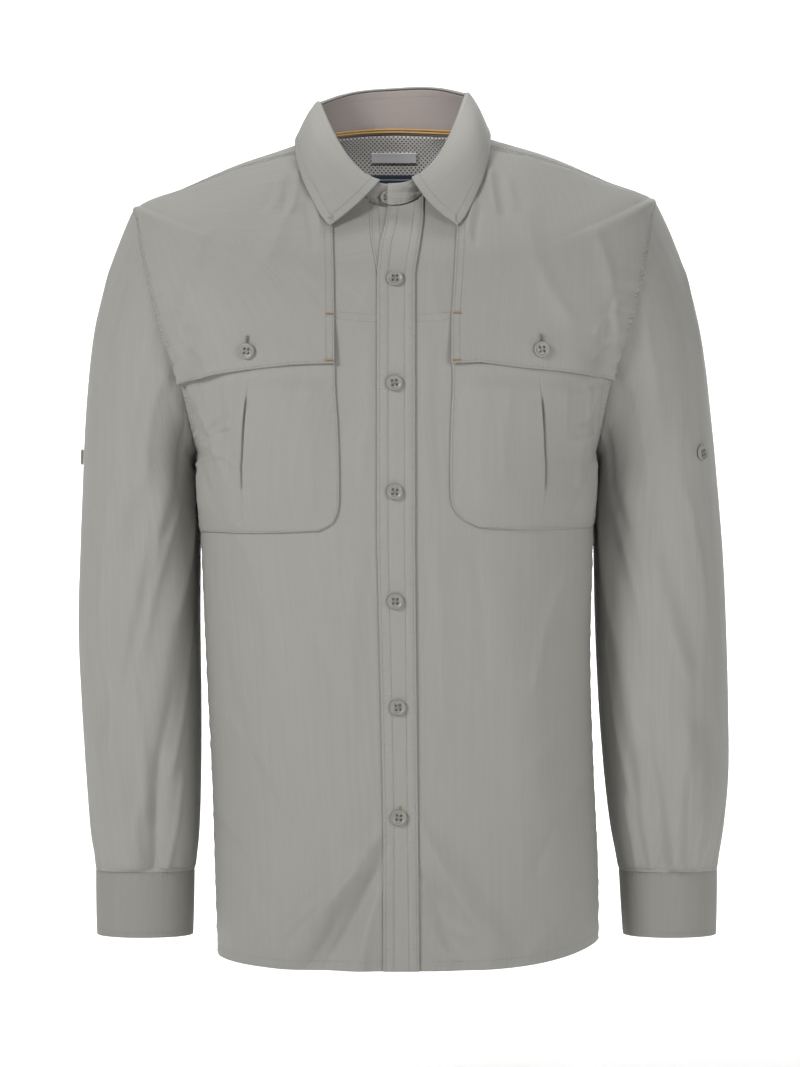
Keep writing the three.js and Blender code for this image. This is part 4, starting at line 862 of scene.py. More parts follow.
# pockets
pocketLook = {"stepUp": 1.3, "slitWide": 0.85, "slitDeep": 3.6, "slitBow": 0.35, "slitFoot": -309, "slitTop": -218,
              "creases": 1.9, "dip": 1.5}
pocketCreases = {
    "r": [
        [-185, -257, -169, -258.4, 2.2, 1.2, 1], [-168.5, -258.4, -148, -253.5, 2.4, -1.0, 1],
        [-168.5, -258.4, -151, -238, 2.4, -0.9, 1], [-176, -232, -158, -277, 2.4, 1.3, 2],
        [-186, -219, -175, -241, 2.2, 1.0, 1], [-179, -284, -162, -276, 2.0, 1.1, 1],
        [-182, -268, -178, -290, 2.4, -0.8, 1], [-149, -344, -140, -336, 2.0, 1.2, 0],
        [-172, -300, -160, -330, 3.5, 0.8, 2], [-160, -212, -150, -250, 4.0, 0.6, 2],
        [-100, -215, -92, -300, 6.0, 0.5, 3], [-74, -230, -70, -320, 5.0, -0.4, 2],
    ],
    "l": [
        [174, -214, 166, -240, 2.2, 1.1, -1], [176, -236, 158, -246, 2.4, -0.9, 1],
        [170, -256, 150, -262, 2.6, 0.9, -1],
        [168, -280, 152, -300, 3.0, 0.8, -2], [156, -300, 148, -328, 3.2, -0.7, 1],
        [150, -216, 144, -262, 4.0, 0.6, -2],
        [96, -215, 90, -300, 6.0, 0.5, -3], [66, -230, 62, -318, 5.0, -0.4, -2],
    ],
}
for tag, side in sides:
    table = [[k] + row for k, row in enumerate(pocketTables[tag])]
    keys = np.concatenate([np.linspace(0, 3, 20)[:-1], np.linspace(3, 5, 72)])
    high, inX, outShare = (readTable(table, keys, c) for c in (1, 2, 3))
    at0 = ringAt(side * 100.0 + 0 * high, high)
    outTurn = side * outShare * frontEdge(at0)
    outX = bodyBase(outTurn, at0)[:, 0]
    pleat = pleatPlace[tag]
    turns = evenTurns(turnAt(inX, at0), outTurn, at0, 3.0)
    # lines crowd together at the pleat
    x = bodyBase(turns, at0[:, None])[..., 0]
    share = np.linspace(0, 1, turns.shape[1])
    middle = np.array([np.interp(pleat * side, row * side, share) for row in x])[:, None]
    below = (1 - (1 - np.linspace(0, 1, 44)[:-1]) ** 1.6) * middle
    above = middle + np.linspace(0, 1, 46) ** 1.6 * (1 - middle)
    turns = np.stack([np.interp(want, share, row) for want, row in zip(np.concatenate([below, above], 1), turns)])
    x = bodyBase(turns, at0[:, None])[..., 0]
    # from here on each of these is a column, one value for a row of the pocket
    high, inX, outX, outTurn = (v[:, None] for v in (high, inX, outX, outTurn))
    ats = ringAt(x, high - pocketLook["dip"] * np.sin(math.pi * np.clip((x - inX) / (outX - inX), 0, 1)))
    up = high - pocketTables[tag][0][0]
    inward = np.minimum(np.abs(x - inX), np.abs(turns - outTurn) * 1.9)
    # the pleat is sewn shut at its top and foot and stands open between
    aboveFoot = high - pocketLook["slitFoot"]
    opened = ease(aboveFoot / 14) * ease((pocketLook["slitTop"] - high) / 16)
    away = (x - pleat) * side - pocketLook["slitBow"] * np.sin(math.pi * np.clip(aboveFoot / 90, 0, 1))
    slit = np.exp(-np.abs(away / pocketLook["slitWide"]) ** 3) * (0.12 + 0.88 * opened) * ease(up / 10)
    ledge = np.exp(-np.maximum(-away, 0) / 8) * ease((0.6 - away) / 1.2) * (0.25 + 0.75 * opened)
    # it fills out away from its edges, and less where it is tucked under the flap
    full = ease(inward / 26) * ease(up / 30) * (0.25 + 0.75 * ease((-205 - high) / 16))
    lift = full * (pocketPuff - slit * pocketLook["slitDeep"] + ledge * pocketLook["stepUp"]) + 0.15
    creases = foldHigh(pocketCreases[tag], x, high, 1.4) * ease(up / 6) * ease(inward / 2.5)
    lift = lift + pocketLook["creases"] * creases
    outer, inner = panelGrids(turns, ats, off=laidGap + clothWall, lift=lift)
    finishCloth(f"pocket_{tag}", outer, inner, shirtCloth,
                sewn={"left": 0.3, "right": 0.7, "first": 0.3})
print("body panels done")


# sleeves
sleeveLook = {"rows": 168, "lines": 118, "girth": 1.15, "headGather": 0.6, "headPitch": 13,
              "cuffGather": 0.7, "cuffPitch": 12}


def armPoint(side, turn):
    t = np.mod(turn, 360)
    fore = t <= 180
    at = np.where(fore, pitAt + (1 - t / 180) * (tipAt - pitAt), pitAt + (t - 180) / 180 * (tipAt - pitAt))
    edge = np.where(fore, np.degrees(ring(at, "edgeFore")), 180 - np.degrees(ring(at, "edgeAft")))
    return bodySkin(side * edge, at, 0.0, fine=False)


def sleeveEllipse(tag, turn, k):
    rows = [[i] + row for i, row in enumerate(sleeveTables[tag])]
    outX, outZ, inX, inZ, middle, depth, follow = (readTable(rows, k, c) for c in range(1, 8))
    c, s = np.cos(np.radians(turn)), np.sin(np.radians(turn))
    power = 2 / 2.15
    c, s = np.sign(c) * np.abs(c) ** power, np.sign(s) * np.abs(s) ** power
    x, z = (outX + inX) / 2 + (outX - inX) / 2 * c, (outZ + inZ) / 2 + (outZ - inZ) / 2 * c
    return np.stack([x, middle - depth * s, z], -1), follow


def sleeveBase(tag, turn, k):
    side = -1 if tag == "r" else 1
    turn, k = np.broadcast_arrays(np.asarray(turn, float), np.asarray(k, float))
    p, follow = sleeveEllipse(tag, turn, k)
    start = sleeveEllipse(tag, turn, np.zeros_like(k))[0]
    return p + follow[..., None] * (armPoint(side, turn) - start)


def sleeveSkin(tag, turn, k, off=0.0):
    turn, k = np.broadcast_arrays(np.asarray(turn, float), np.asarray(k, float))
    p = sleeveBase(tag, turn, k)
    across = sleeveBase(tag, turn + 3, k) - sleeveBase(tag, turn - 3, k)
    along = sleeveBase(tag, turn, np.maximum(0, k - 0.2)) - sleeveBase(tag, turn, np.minimum(13, k + 0.2))
    n = unit(np.cross(across, along)) * (-1 if tag == "l" else 1)
    t = np.mod(turn, 360)
    # the tables give places round the sleeve in degrees, and one degree is about 1.15 mm
    look, girth = sleeveLook, sleeveLook["girth"]
    folds = [[a * girth, b, c * girth, *rest] for a, b, c, *rest in sleeveFolds[tag]]
    creases = [[a * girth, b, c * girth, *rest] for a, b, c, *rest in sleeveCreases[tag]]
    fromPit, fromCuff = np.abs(t - 180), 13 - k
    quiet = ease((k - 1.5) / 2) * ease(fromCuff / 0.6 + 0.15) * ease((fromPit - 12) / 25)
    high = quiet * foldHigh(folds, t * girth, p[..., 2])
    quiet = ease(k / 1.2) * ease(fromCuff / 0.3 + 0.2) * ease((fromPit - 4) / 12)
    high = high + quiet * creaseLook["strength"] * foldHigh(creases, t * girth, p[..., 2], 1.5)
    # gathers at the armhole seam and at the cuff
    head = (k / 0.25) * np.exp(1 - k / 0.25) * ease(fromPit / 30)
    high = high + look["headGather"] * head * wander(t * 1.7, look["headPitch"], 0.9)
    foot = np.exp(-((fromCuff - 0.4) / 0.7) ** 2) * ease(fromCuff / 0.25)
    high = high + look["cuffGather"] * foot * wander(t * 0.8, look["cuffPitch"], 1.7)
    return p + n * (off + high)[..., None]


for tag, side in sides:
    many = np.linspace(0, 13, 400)
    long = lengthsAlong(sleeveBase(tag, 20.0, many)[:, None], 0)[:, 0]
    ks = np.interp(np.linspace(0, long[-1], sleeveLook["rows"]), long, many)
    turns = 180 + np.arange(sleeveLook["lines"]) * 360 / sleeveLook["lines"]
    outer = sleeveSkin(tag, turns[None, :], ks[:, None])
    inner = sleeveSkin(tag, turns[None, :], ks[:, None], -clothWall)
    outer, inner = (drawBack(g, 0.3, "first") for g in (outer, inner))
    finishCloth(f"sleeve_{tag}", outer, inner, sleeveCloth, closed=True,
                sewn={"first": 0.35, "last": 0.5})

# cuffs
cuffLook = {"lines": 150, "rows": 20, "start": 232, "lap": 26, "lapStep": 1.5, "puff": 0.35,
            "pucker": 0.25, "puckerPitch": 14}
for tag, side in sides:
    t = cuffTables[tag]
    along = np.linspace(0, 1, cuffLook["lines"])
    turn = np.radians(cuffLook["start"] + (360 + cuffLook["lap"]) * along)
    v = np.linspace(0, 1, cuffLook["rows"])[:, None]
    step = cuffLook["lapStep"] * (ease((along - 0.86) / 0.1) - ease((0.14 - along) / 0.1))
    topHalf, bottomHalf = (t["topX"][1] - t["topX"][0]) / 2, (t["bottomX"][1] - t["bottomX"][0]) / 2
    half = topHalf + (bottomHalf - topHalf) * v
    mid = sum(t["topX"]) / 2 + (sum(t["bottomX"]) - sum(t["topX"])) / 2 * v
    high = (t["top"] - t["bottom"]) * v
    puff = cuffLook["puff"] * np.sin(math.pi * np.clip((high - 1.6) / 51.5, 0, 1)) ** 0.5
    pucker = cuffLook["pucker"] * wander(np.degrees(turn) * 0.8, cuffLook["puckerPitch"], 0.4)
    puff = puff + pucker * np.exp(-((high - 3) / 5) ** 2)

    def cuffGrid(off):
        r = off + step + puff
        x, y = mid + side * (half + r) * np.cos(turn), t["middle"] - (t["depth"] - 1.5 * v + r) * np.sin(turn)
        return np.stack([x, y, t["top"] + (t["bottom"] - t["top"]) * v + 0 * turn], -1)

    finishCloth(f"cuff_{tag}", cuffGrid(0), cuffGrid(-cuffWall), cuffCloth,
                sewn={"first": 0.5, "last": 0.3})
print("sleeves and cuffs done")


# collar. Crumples of the stand's soft open ends: turn, height share, turn, height share, half width, height, bow
standLook = {"rows": 20, "pucker": 0.22, "puckerPitch": 13, "endCreases": [
    [4, 0.95, 26, 0.45, 0.09, 1.7, 0], [2, 0.62, 20, 0.30, 0.08, -1.5, 0], [-2, 0.40, 14, 0.22, 0.07, 1.1, 0],
    [352, 0.95, 340, 0.50, 0.09, 1.3, 0], [362, 0.80, 350, 0.35, 0.08, -1.2, 0], [368, 0.55, 356, 0.2, 0.07, 1.0, 0]]}


def standTopPoint(turn, off=0.0):
    t = standTop
    a = np.radians(turn)
    front = np.cos(a) >= 0
    power = 2 / t["square"]
    share = np.abs(np.sin(a)) ** power
    x = np.sign(np.sin(a)) * t["half"] * share
    y = np.where(front, -t["fore"], t["aft"]) * np.abs(np.cos(a)) ** power
    bow = np.where(front, np.where(x > 0, t["bowLeft"], t["bowRight"]), t["bowBack"])
    middle = np.where(front, t["front"], t["back"])
    z = t["side"] + (middle - t["side"]) * (1 - share ** bow) + t["tilt"] * x / t["half"]
    out = unit(np.stack([x / t["half"] ** 2, y / t["aft"] ** 2, 0 * x], -1))
    return np.stack([t["shift"] + x, t["centre"] + y, z], -1) + out * off


def outOf(top):
    return unit(np.stack([top[..., 0] - standTop["shift"], top[..., 1] - standTop["centre"], 0 * top[..., 0]], -1))


def standLap(turn):
    return 4.1 * ease((28 - turn) / 28) - 1.7 * ease((turn - 330) / 28)


def standPoint(turn, v, off=0.0):
    turn, v = np.broadcast_arrays(np.asarray(turn, float), np.asarray(v, float))
    base, top = bodyBase(turn, 1.0), standTopPoint(turn)
    out = outOf(top)
    low = base - out
    low[..., 2] += 0.75 - 3.2 * ease((turn - 334) / 14)
    return low + (top - low) * v[..., None] + out * (off + standLap(turn))[..., None]


turns = np.concatenate([np.linspace(-3, 40, 44)[:-1], np.linspace(40, 335, 130)[:-1], np.linspace(335, 378, 44)])
v = np.linspace(0, 1, standLook["rows"])[:, None]
pucker = standLook["pucker"] * wander(turns * 1.1, standLook["puckerPitch"], 0.6)[None]
ripple = pucker * np.exp(-((v - 0.2) / 0.2) ** 2)
creases = [[a / 60, b, c / 60, *rest] for a, b, c, *rest in standLook["endCreases"]]
crumple = foldHigh(creases, turns[None] / 60 + 0 * v, v + 0 * turns[None], 1.6)
standOuter, standInner = standPoint(turns[None], v, crumple), standPoint(turns[None], v, -stiffWall + ripple + crumple)
finishCloth("collar_stand", standOuter, standInner, shirtCloth,
            turned=True, inside=innerBandCloth, sewn={"first": 0.6})

collarLook = {"from": 14, "to": 350, "lines": 186, "rollHigh": 0.35, "rollWide": 8}
collarFrom, collarTo = collarLook["from"], collarLook["to"]
turns = np.linspace(collarFrom, collarTo, collarLook["lines"])
along = np.where(turns <= 180, (180 - turns) / (180 - collarFrom), (turns - 180) / (collarTo - 180))
edgeTurn, edgeRing, edgeOff, belly = (readTable(collarRows, along, c) for c in (1, 2, 3, 4))
edgePoint = bodySkin(np.where(turns <= 180, edgeTurn, 360 - edgeTurn), edgeRing, edgeOff, fine=False)
top = standTopPoint(turns, -stiffWall / 2)
out = outOf(top)
lap = standLap(turns)
upward = np.array([0, 0, 1.0])
# the fold over the top of the stand, then the fall
rows = [top + out * (o + lap)[:, None] + upward * z for o, z in ((-0.9, 2.6), (1.6, 3.4), (4.2, 1.9))]
# the front edges of the two leaves bow a little towards each other
bulgeRight = collarBow["r"] * np.exp(-((collarTo - turns) / collarBow["reach"]) ** 2)
bulgeLeft = -collarBow["l"] * np.exp(-((turns - collarFrom) / collarBow["reach"]) ** 2)
bulge = np.where(turns > 180, bulgeRight, bulgeLeft)
tipward = unit(standTopPoint(turns + 2, -stiffWall / 2) - standTopPoint(turns - 2, -stiffWall / 2))
for k in range(1, 5):
    v = k / 4
    p = rows[2] + (edgePoint - rows[2]) * v
    p = p + tipward * (math.sin(math.pi * v) * bulge)[:, None]
    p = p + out * (belly * 2 * math.sin(math.pi * v ** 0.7))[:, None]
    rows.append(p + upward * (belly * 0.6 * math.sin(math.pi * v))[:, None])
keys = np.concatenate([np.linspace(0, 2, 9)[:-1], np.linspace(2, 6, 24)])
stack = np.stack(rows)
outer = np.zeros((len(keys), len(turns), 3))
for j in range(len(turns)):
    for axis in range(3):
        outer[:, j, axis] = readTable(np.column_stack([np.arange(len(rows)), stack[:, j, axis]]), keys, 1)
n = gridNormals(outer)
if (n[-1] * out).sum() < 0:
    n = -n
fromEdge = lengthsAlong(outer[::-1], 0)[::-1]
roll = collarLook["rollHigh"] * np.sin(math.pi * np.clip(fromEdge / collarLook["rollWide"], 0, 1))
outer = outer + n * (roll * (fromEdge < collarLook["rollWide"]))[..., None]
inner = outer - n * stiffWall
finishCloth("collar", outer, inner, bandCloth, turned=True,
            sewn={"left": 0.25, "right": 0.25, "last": 0.25})
print("collar done")

# neck piping
pipingLook = {"round": 0.95, "from": 102, "to": 260, "heights": (0.045, 0.105), "colour": (200, 158, 96)}


def makeThread(name, colour):
    finish = Finish(name)
    place = finish.node("ShaderNodeTexCoord").outputs["Object"]
    tone = finish.noise(place, 900.0, 2.0)
    finish.put("Base Color", mixColours(finish, tone, shaded(colour, 0.82), linear(colour)))
    finish.put("Roughness", tone * 0.2 + 0.5)
    finish.put("Sheen Weight", 0.3)
    bump = finish.node("ShaderNodeBump", {}, {"Height": tone * 0.0001, "Strength": 0.8, "Distance": 1.0})
    finish.put("Normal", bump.outputs["Normal"])
    return finish.material


goldThread = makeThread("goldThread", pipingLook["colour"])
tonalThread = makeThread("tonalThread", (146, 145, 139))


def tubeAlong(path, normals, radius, sidesCount=10):
    tangent = unit(np.gradient(path, axis=0))
    side = unit(np.cross(tangent, normals))
    up = np.cross(side, tangent)
    a = np.arange(sidesCount) * 2 * math.pi / sidesCount
    return path[:, None] + radius * (np.cos(a)[None, :, None] * side[:, None] + np.sin(a)[None, :, None] * up[:, None])


def joinRings(name, ringSets, material):
    points, quads, uvs = [], [], []
    count = 0
    for rings in ringSets:
        rows, cols = rings.shape[:2]
        ids = count + np.arange(rows * cols).reshape(rows, cols)
        wrapped = np.concatenate([ids, ids[:, :1]], 1)
        q = np.stack([wrapped[:-1, :-1], wrapped[:-1, 1:], wrapped[1:, 1:], wrapped[1:, :-1]], -1).reshape(-1, 4)
        ends = [rings[0].mean(0), rings[-1].mean(0)]
        first, last = count + rows * cols, count + rows * cols + 1
        points += [rings.reshape(-1, 3), np.array(ends)]
        quads += [q.tolist(), [[ids[0, (k + 1) % cols], ids[0, k], first] for k in range(cols)],
                  [[ids[-1, k], ids[-1, (k + 1) % cols], last] for k in range(cols)]]
        count += rows * cols + 2
    mesh = bpy.data.meshes.new(name)
    mesh.from_pydata((np.concatenate(points) * 0.001).tolist(), [], [f for group in quads for f in group])
    mesh.polygons.foreach_set("use_smooth", [True] * len(mesh.polygons))
    if meshVolume(mesh) < 0:
        mesh.flip_normals()
    piece = bpy.data.objects.new(name, mesh)
    mesh.materials.append(material)
    bpy.context.scene.collection.objects.link(piece)
    return piece


def meshVolume(mesh):
    co = np.zeros(len(mesh.vertices) * 3)
    mesh.vertices.foreach_get("co", co)
    co = co.reshape(-1, 3)
    mesh.calc_loop_triangles()
    tri = np.zeros(len(mesh.loop_triangles) * 3, int)
    mesh.loop_triangles.foreach_get("vertices", tri)
    tri = tri.reshape(-1, 3)
    return np.einsum("ij,ij->i", co[tri[:, 0]], np.cross(co[tri[:, 1]], co[tri[:, 2]])).sum()


turns = np.linspace(pipingLook["from"], pipingLook["to"], 150)
tubes = []
for v in pipingLook["heights"]:
    path = standPoint(turns, v, -stiffWall - 1.15)
    tubes.append(tubeAlong(path, -outOf(path), pipingLook["round"]))
piping = joinRings("neck_piping", tubes, goldThread)
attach(piping, "root")
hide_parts("neck_tape")
print("piping done")


# bare labels
def makeLabelCloth(name, colour, line=None):
    finish = Finish(name)
    place = finish.node("ShaderNodeUVMap", {"uv_map": "cloth"}).outputs["UV"]
    parts = finish.node("ShaderNodeSeparateXYZ", {}, {"Vector": place})
    rib = wave(finish.value(parts.outputs["Y"]), 0.0007)
    yarn = finish.noise(place, 1400.0, 2.0)
    tone = yarn * 0.7 + rib * 0.15 + 0.1
    base = mixColours(finish, tone, shaded(colour, 0.85), linear(colour))
    if line:
        place, half, lineColour = line
        band = (finish.value(parts.outputs["Y"]) - place).maths("ABSOLUTE").maths("LESS_THAN", half)
        base = mixColours(finish, band, base, linear(lineColour))
    finish.put("Base Color", base)
    finish.put("Roughness", 0.55)
    finish.put("Sheen Weight", 0.2)
    height = rib * 0.00002 + yarn * 0.00004
    bump = finish.node("ShaderNodeBump", {}, {"Height": height, "Strength": 1.0, "Distance": 1.0})
    finish.put("Normal", bump.outputs["Normal"])
    return finish.material


# a woven line is its place up the label, its half width and its colour
labels = {
    "label_pale": dict(x=(-26.5, 15.5), z=(-2.5, 6.7), rows=14, colour=(250, 250, 252), line=None),
    "label_dark": dict(x=(-26, 13), z=(-54, -13.7), rows=22, colour=(58, 70, 84),
                       line=(0.0378, 0.0004, (190, 196, 202))),
}
for name, t in labels.items():
    x = np.linspace(t["x"][0], t["x"][1], 24)[None]
    z = np.linspace(t["z"][0], t["z"][1], t["rows"])[:, None]
    at = ringAt(x + 0 * z, z + 0 * x, False)
    turn = turnAt(x + 0 * z, at, False)
    turn = np.where(turn < 0, turn + 360, turn)
    bow = 0.3 * np.sin(math.pi * (x - t["x"][0]) / (t["x"][1] - t["x"][0])) * np.ones_like(z)
    outer, inner = panelGrids(turn, at, off=-clothWall - 2.5, wall=0.8, lift=-bow * 0.5)
    material = makeLabelCloth(name + "_cloth", t["colour"], t["line"])
    finishCloth(name, outer, inner, material)
print("labels done")

# buttons
buttonLook = {"round": 7.1, "thick": 2.6, "holeRound": 1.2, "holeApart": 1.75, "threadRound": 0.36,
              "cuffRound": 5.5, "standRound": 5.6, "standThick": 1.8, "colour": (156, 156, 146)}
frontButtons = [[-4.3, -123], [-4.8, -214], [-4.5, -308.5], [-4.0, -404], [-1.8, -497], [-0.9, -593]]
flapButtons = {"r": [-132.5, -186], "l": [122.5, -184.5]}
tabButtons = {"r": [6, -276], "l": [47, -273]}


def makeButtonFinish():
    finish = Finish("buttonResin")
    place = finish.node("ShaderNodeTexCoord").outputs["Object"]
    cloud = finish.noise(place, 260.0, 3.0)
    colour = buttonLook["colour"]
    finish.put("Base Color", mixColours(finish, cloud, shaded(colour, 0.8), linear(colour)))
    finish.put("Roughness", cloud * 0.15 + 0.3)
    finish.put("Coat Weight", 0.15)
    bump = finish.node("ShaderNodeBump", {}, {"Height": cloud * 0.00005, "Strength": 0.5, "Distance": 1.0})
    finish.put("Normal", bump.outputs["Normal"])
    return finish.material


buttonFinish = makeButtonFinish()


def makeButtonMesh():
    # a turned disc with a raised rim and a dished middle, then four holes are cut through it
    profile = [(0.0, 0.0), (0.86, 0.0), (0.95, 0.08), (1.0, 0.28), (1.0, 0.62), (0.97, 0.86), (0.91, 0.98),
               (0.84, 1.0), (0.77, 0.95), (0.71, 0.82), (0.64, 0.70), (0.5, 0.66), (0.0, 0.64)]
    turns = 48
    a = np.arange(turns) * 2 * math.pi / turns
    mesh = bpy.data.meshes.new("buttonDisc")
    points, faces = [(0, 0, profile[0][1])], []
    for r, h in profile[1:-1]:
        points += [(r * math.cos(t), r * math.sin(t), h) for t in a]
    points.append((0, 0, profile[-1][1]))
    rings = len(profile) - 2
    for j in range(turns):
        n = (j + 1) % turns
        faces.append([0, 1 + n, 1 + j])
        for i in range(rings - 1):
            p, q = 1 + i * turns, 1 + (i + 1) * turns
            faces.append([p + j, p + n, q + n, q + j])
        p = 1 + (rings - 1) * turns
        faces.append([p + j, p + n, len(points) - 1])
    scale = [buttonLook["round"], buttonLook["round"], buttonLook["thick"]]
    mesh.from_pydata([[c * s for c, s in zip(q, scale)] for q in points], [], faces)
    disc = bpy.data.objects.new("buttonDisc", mesh)
    bpy.context.scene.collection.objects.link(disc)
    drill = bpy.data.meshes.new("drill")
    points, faces = [], []
    for sx in (-1, 1):
        for sy in (-1, 1):
            base, sidesCount = len(points), 16
            cx, cy = sx * buttonLook["holeApart"], sy * buttonLook["holeApart"]
            circle = [(cx + buttonLook["holeRound"] * math.cos(t), cy + buttonLook["holeRound"] * math.sin(t))
                      for t in np.arange(sidesCount) * 2 * math.pi / sidesCount]
            points += [(x, y, h) for h in (-1, 5) for x, y in circle]
            low, high = base + np.arange(sidesCount), base + sidesCount + np.arange(sidesCount)
            faces += np.stack([low, np.roll(low, -1), np.roll(high, -1), high], 1).tolist()
            faces += [low[::-1].tolist(), high.tolist()]
    drill.from_pydata(points, [], faces)
    cutter = bpy.data.objects.new("drill", drill)
    bpy.context.scene.collection.objects.link(cutter)
    cut = disc.modifiers.new("holes", "BOOLEAN")
    cut.operation, cut.object, cut.solver = "DIFFERENCE", cutter, "EXACT"
    result = bpy.data.meshes.new_from_object(disc.evaluated_get(bpy.context.evaluated_depsgraph_get()))
    bpy.data.objects.remove(disc)
    bpy.data.objects.remove(cutter)
    co = np.zeros(len(result.vertices) * 3)
    result.vertices.foreach_get("co", co)
    return co.reshape(-1, 3), [list(p.vertices) for p in result.polygons]


buttonPoints, buttonFaces = makeButtonMesh()


def placeButton(node, place, normal, wide=1.0, thick=1.0, spin=0.0):
    up = unit(np.asarray(normal, float))
    side = unit(np.cross([0, 0, 1.0], up))
    across = np.cross(up, side)
    c, s = math.cos(spin), math.sin(spin)
    axes = np.stack([c * side + s * across, -s * side + c * across, up])
    points = [place + (buttonPoints * [wide, wide, thick]) @ axes]
    faces = [list(f) for f in buttonFaces]
    count = len(buttonPoints)
    # two short bars of thread cross between the holes, a little arched
    t = np.linspace(-1, 1, 9)
    apart = buttonLook["holeApart"] * wide
    for way in (-1, 1):
        arch = 0.62 * buttonLook["thick"] * thick + 0.5 * (1 - t ** 4) - 0.2 + 0.12 * way
        path = np.stack([t * apart, t * way * apart, arch], -1)
        tube = tubeAlong(path, np.tile([0, 0, 1.0], (len(t), 1)), buttonLook["threadRound"], 6)
        ids = count + np.arange(tube.shape[0] * tube.shape[1]).reshape(tube.shape[:2])
        beside = np.roll(ids, -1, 1)
        faces += np.stack([ids[:-1], ids[1:], beside[1:], beside[:-1]], -1).reshape(-1, 4).tolist()
        faces += [ids[0].tolist(), ids[-1][::-1].tolist()]
        points.append(place + tube.reshape(-1, 3) @ axes)
        count += ids.size
    mesh = bpy.data.meshes.new(node + "_turned")
    mesh.from_pydata((np.concatenate(points) * 0.001).tolist(), [], faces)
    mesh.materials.append(buttonFinish)
    mesh.materials.append(tonalThread)
    mesh.polygons.foreach_set("material_index", (np.arange(len(faces)) >= len(buttonFaces)).astype(int))
    mesh.polygons.foreach_set("use_smooth", [True] * len(faces))
    mesh.set_sharp_from_angle(angle=math.radians(40))
    piece = bpy.data.objects.new(node + "_turned", mesh)
    bpy.context.scene.collection.objects.link(piece)
    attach(piece, "root")
    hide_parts(node)


def onFront(x, z, off):
    at = ringAt(x, z)
    turn = turnAt(x, at)
    return bodySkin(turn, at, off), facing(turn, at, 1.5, 0.008)


for k, (x, z) in enumerate(frontButtons):
    place, normal = onFront(x, z, laidGap + stiffWall + 0.5)
    placeButton(f"button_front_{k + 1}", place, normal, spin=0.12 * math.sin(k * 2.1))
for tag, side in sides:
    x, z = flapButtons[tag]
    over = z - readLine(flapLower[tag], x)
    lift = flapLift * ease(1 - over / flapRise)
    place, normal = onFront(x, z, laidGap + clothWall + lift + 0.75)
    placeButton(f"button_flap_{tag}", place, normal, spin=0.1 * side)
    turn, high = tabButtons[tag]
    # steps along the sleeve until it is at the button's height
    k = 5.0
    for step in range(30):
        k += float(sleeveBase(tag, turn, k)[2] - high) / 60
    here = sleeveSkin(tag, float(turn), k)
    normal = sleeveSkin(tag, float(turn), k, 1.0) - here
    placeButton(f"button_sleeve_{tag}", here + normal * 0.2, normal, spin=0.2)
    t = cuffTables[tag]
    turn = math.radians(245)
    half = (t["topX"][1] - t["topX"][0] + t["bottomX"][1] - t["bottomX"][0]) / 4
    mid = (sum(t["topX"]) + sum(t["bottomX"])) / 4
    normal = unit(np.array([side * math.cos(turn) / half, -math.sin(turn) / t["depth"], 0.0]))
    x, y = mid + side * half * math.cos(turn), t["middle"] - (t["depth"] - 0.75) * math.sin(turn)
    here = np.array([x, y, (t["top"] + t["bottom"]) / 2])
    placeButton(f"button_cuff_{tag}", here + normal * 2.6, normal, buttonLook["cuffRound"] / buttonLook["round"])
here = standPoint(356.0, 0.45)
normal = outOf(here)
placeButton("button_stand", here + normal * 0.6, normal, buttonLook["standRound"] / buttonLook["round"],
            buttonLook["standThick"] / buttonLook["thick"])
print("buttons done")

# stitching
stitchLook = {"pitch": 2.9, "long": 2.2, "thick": 0.26, "above": 0.12}


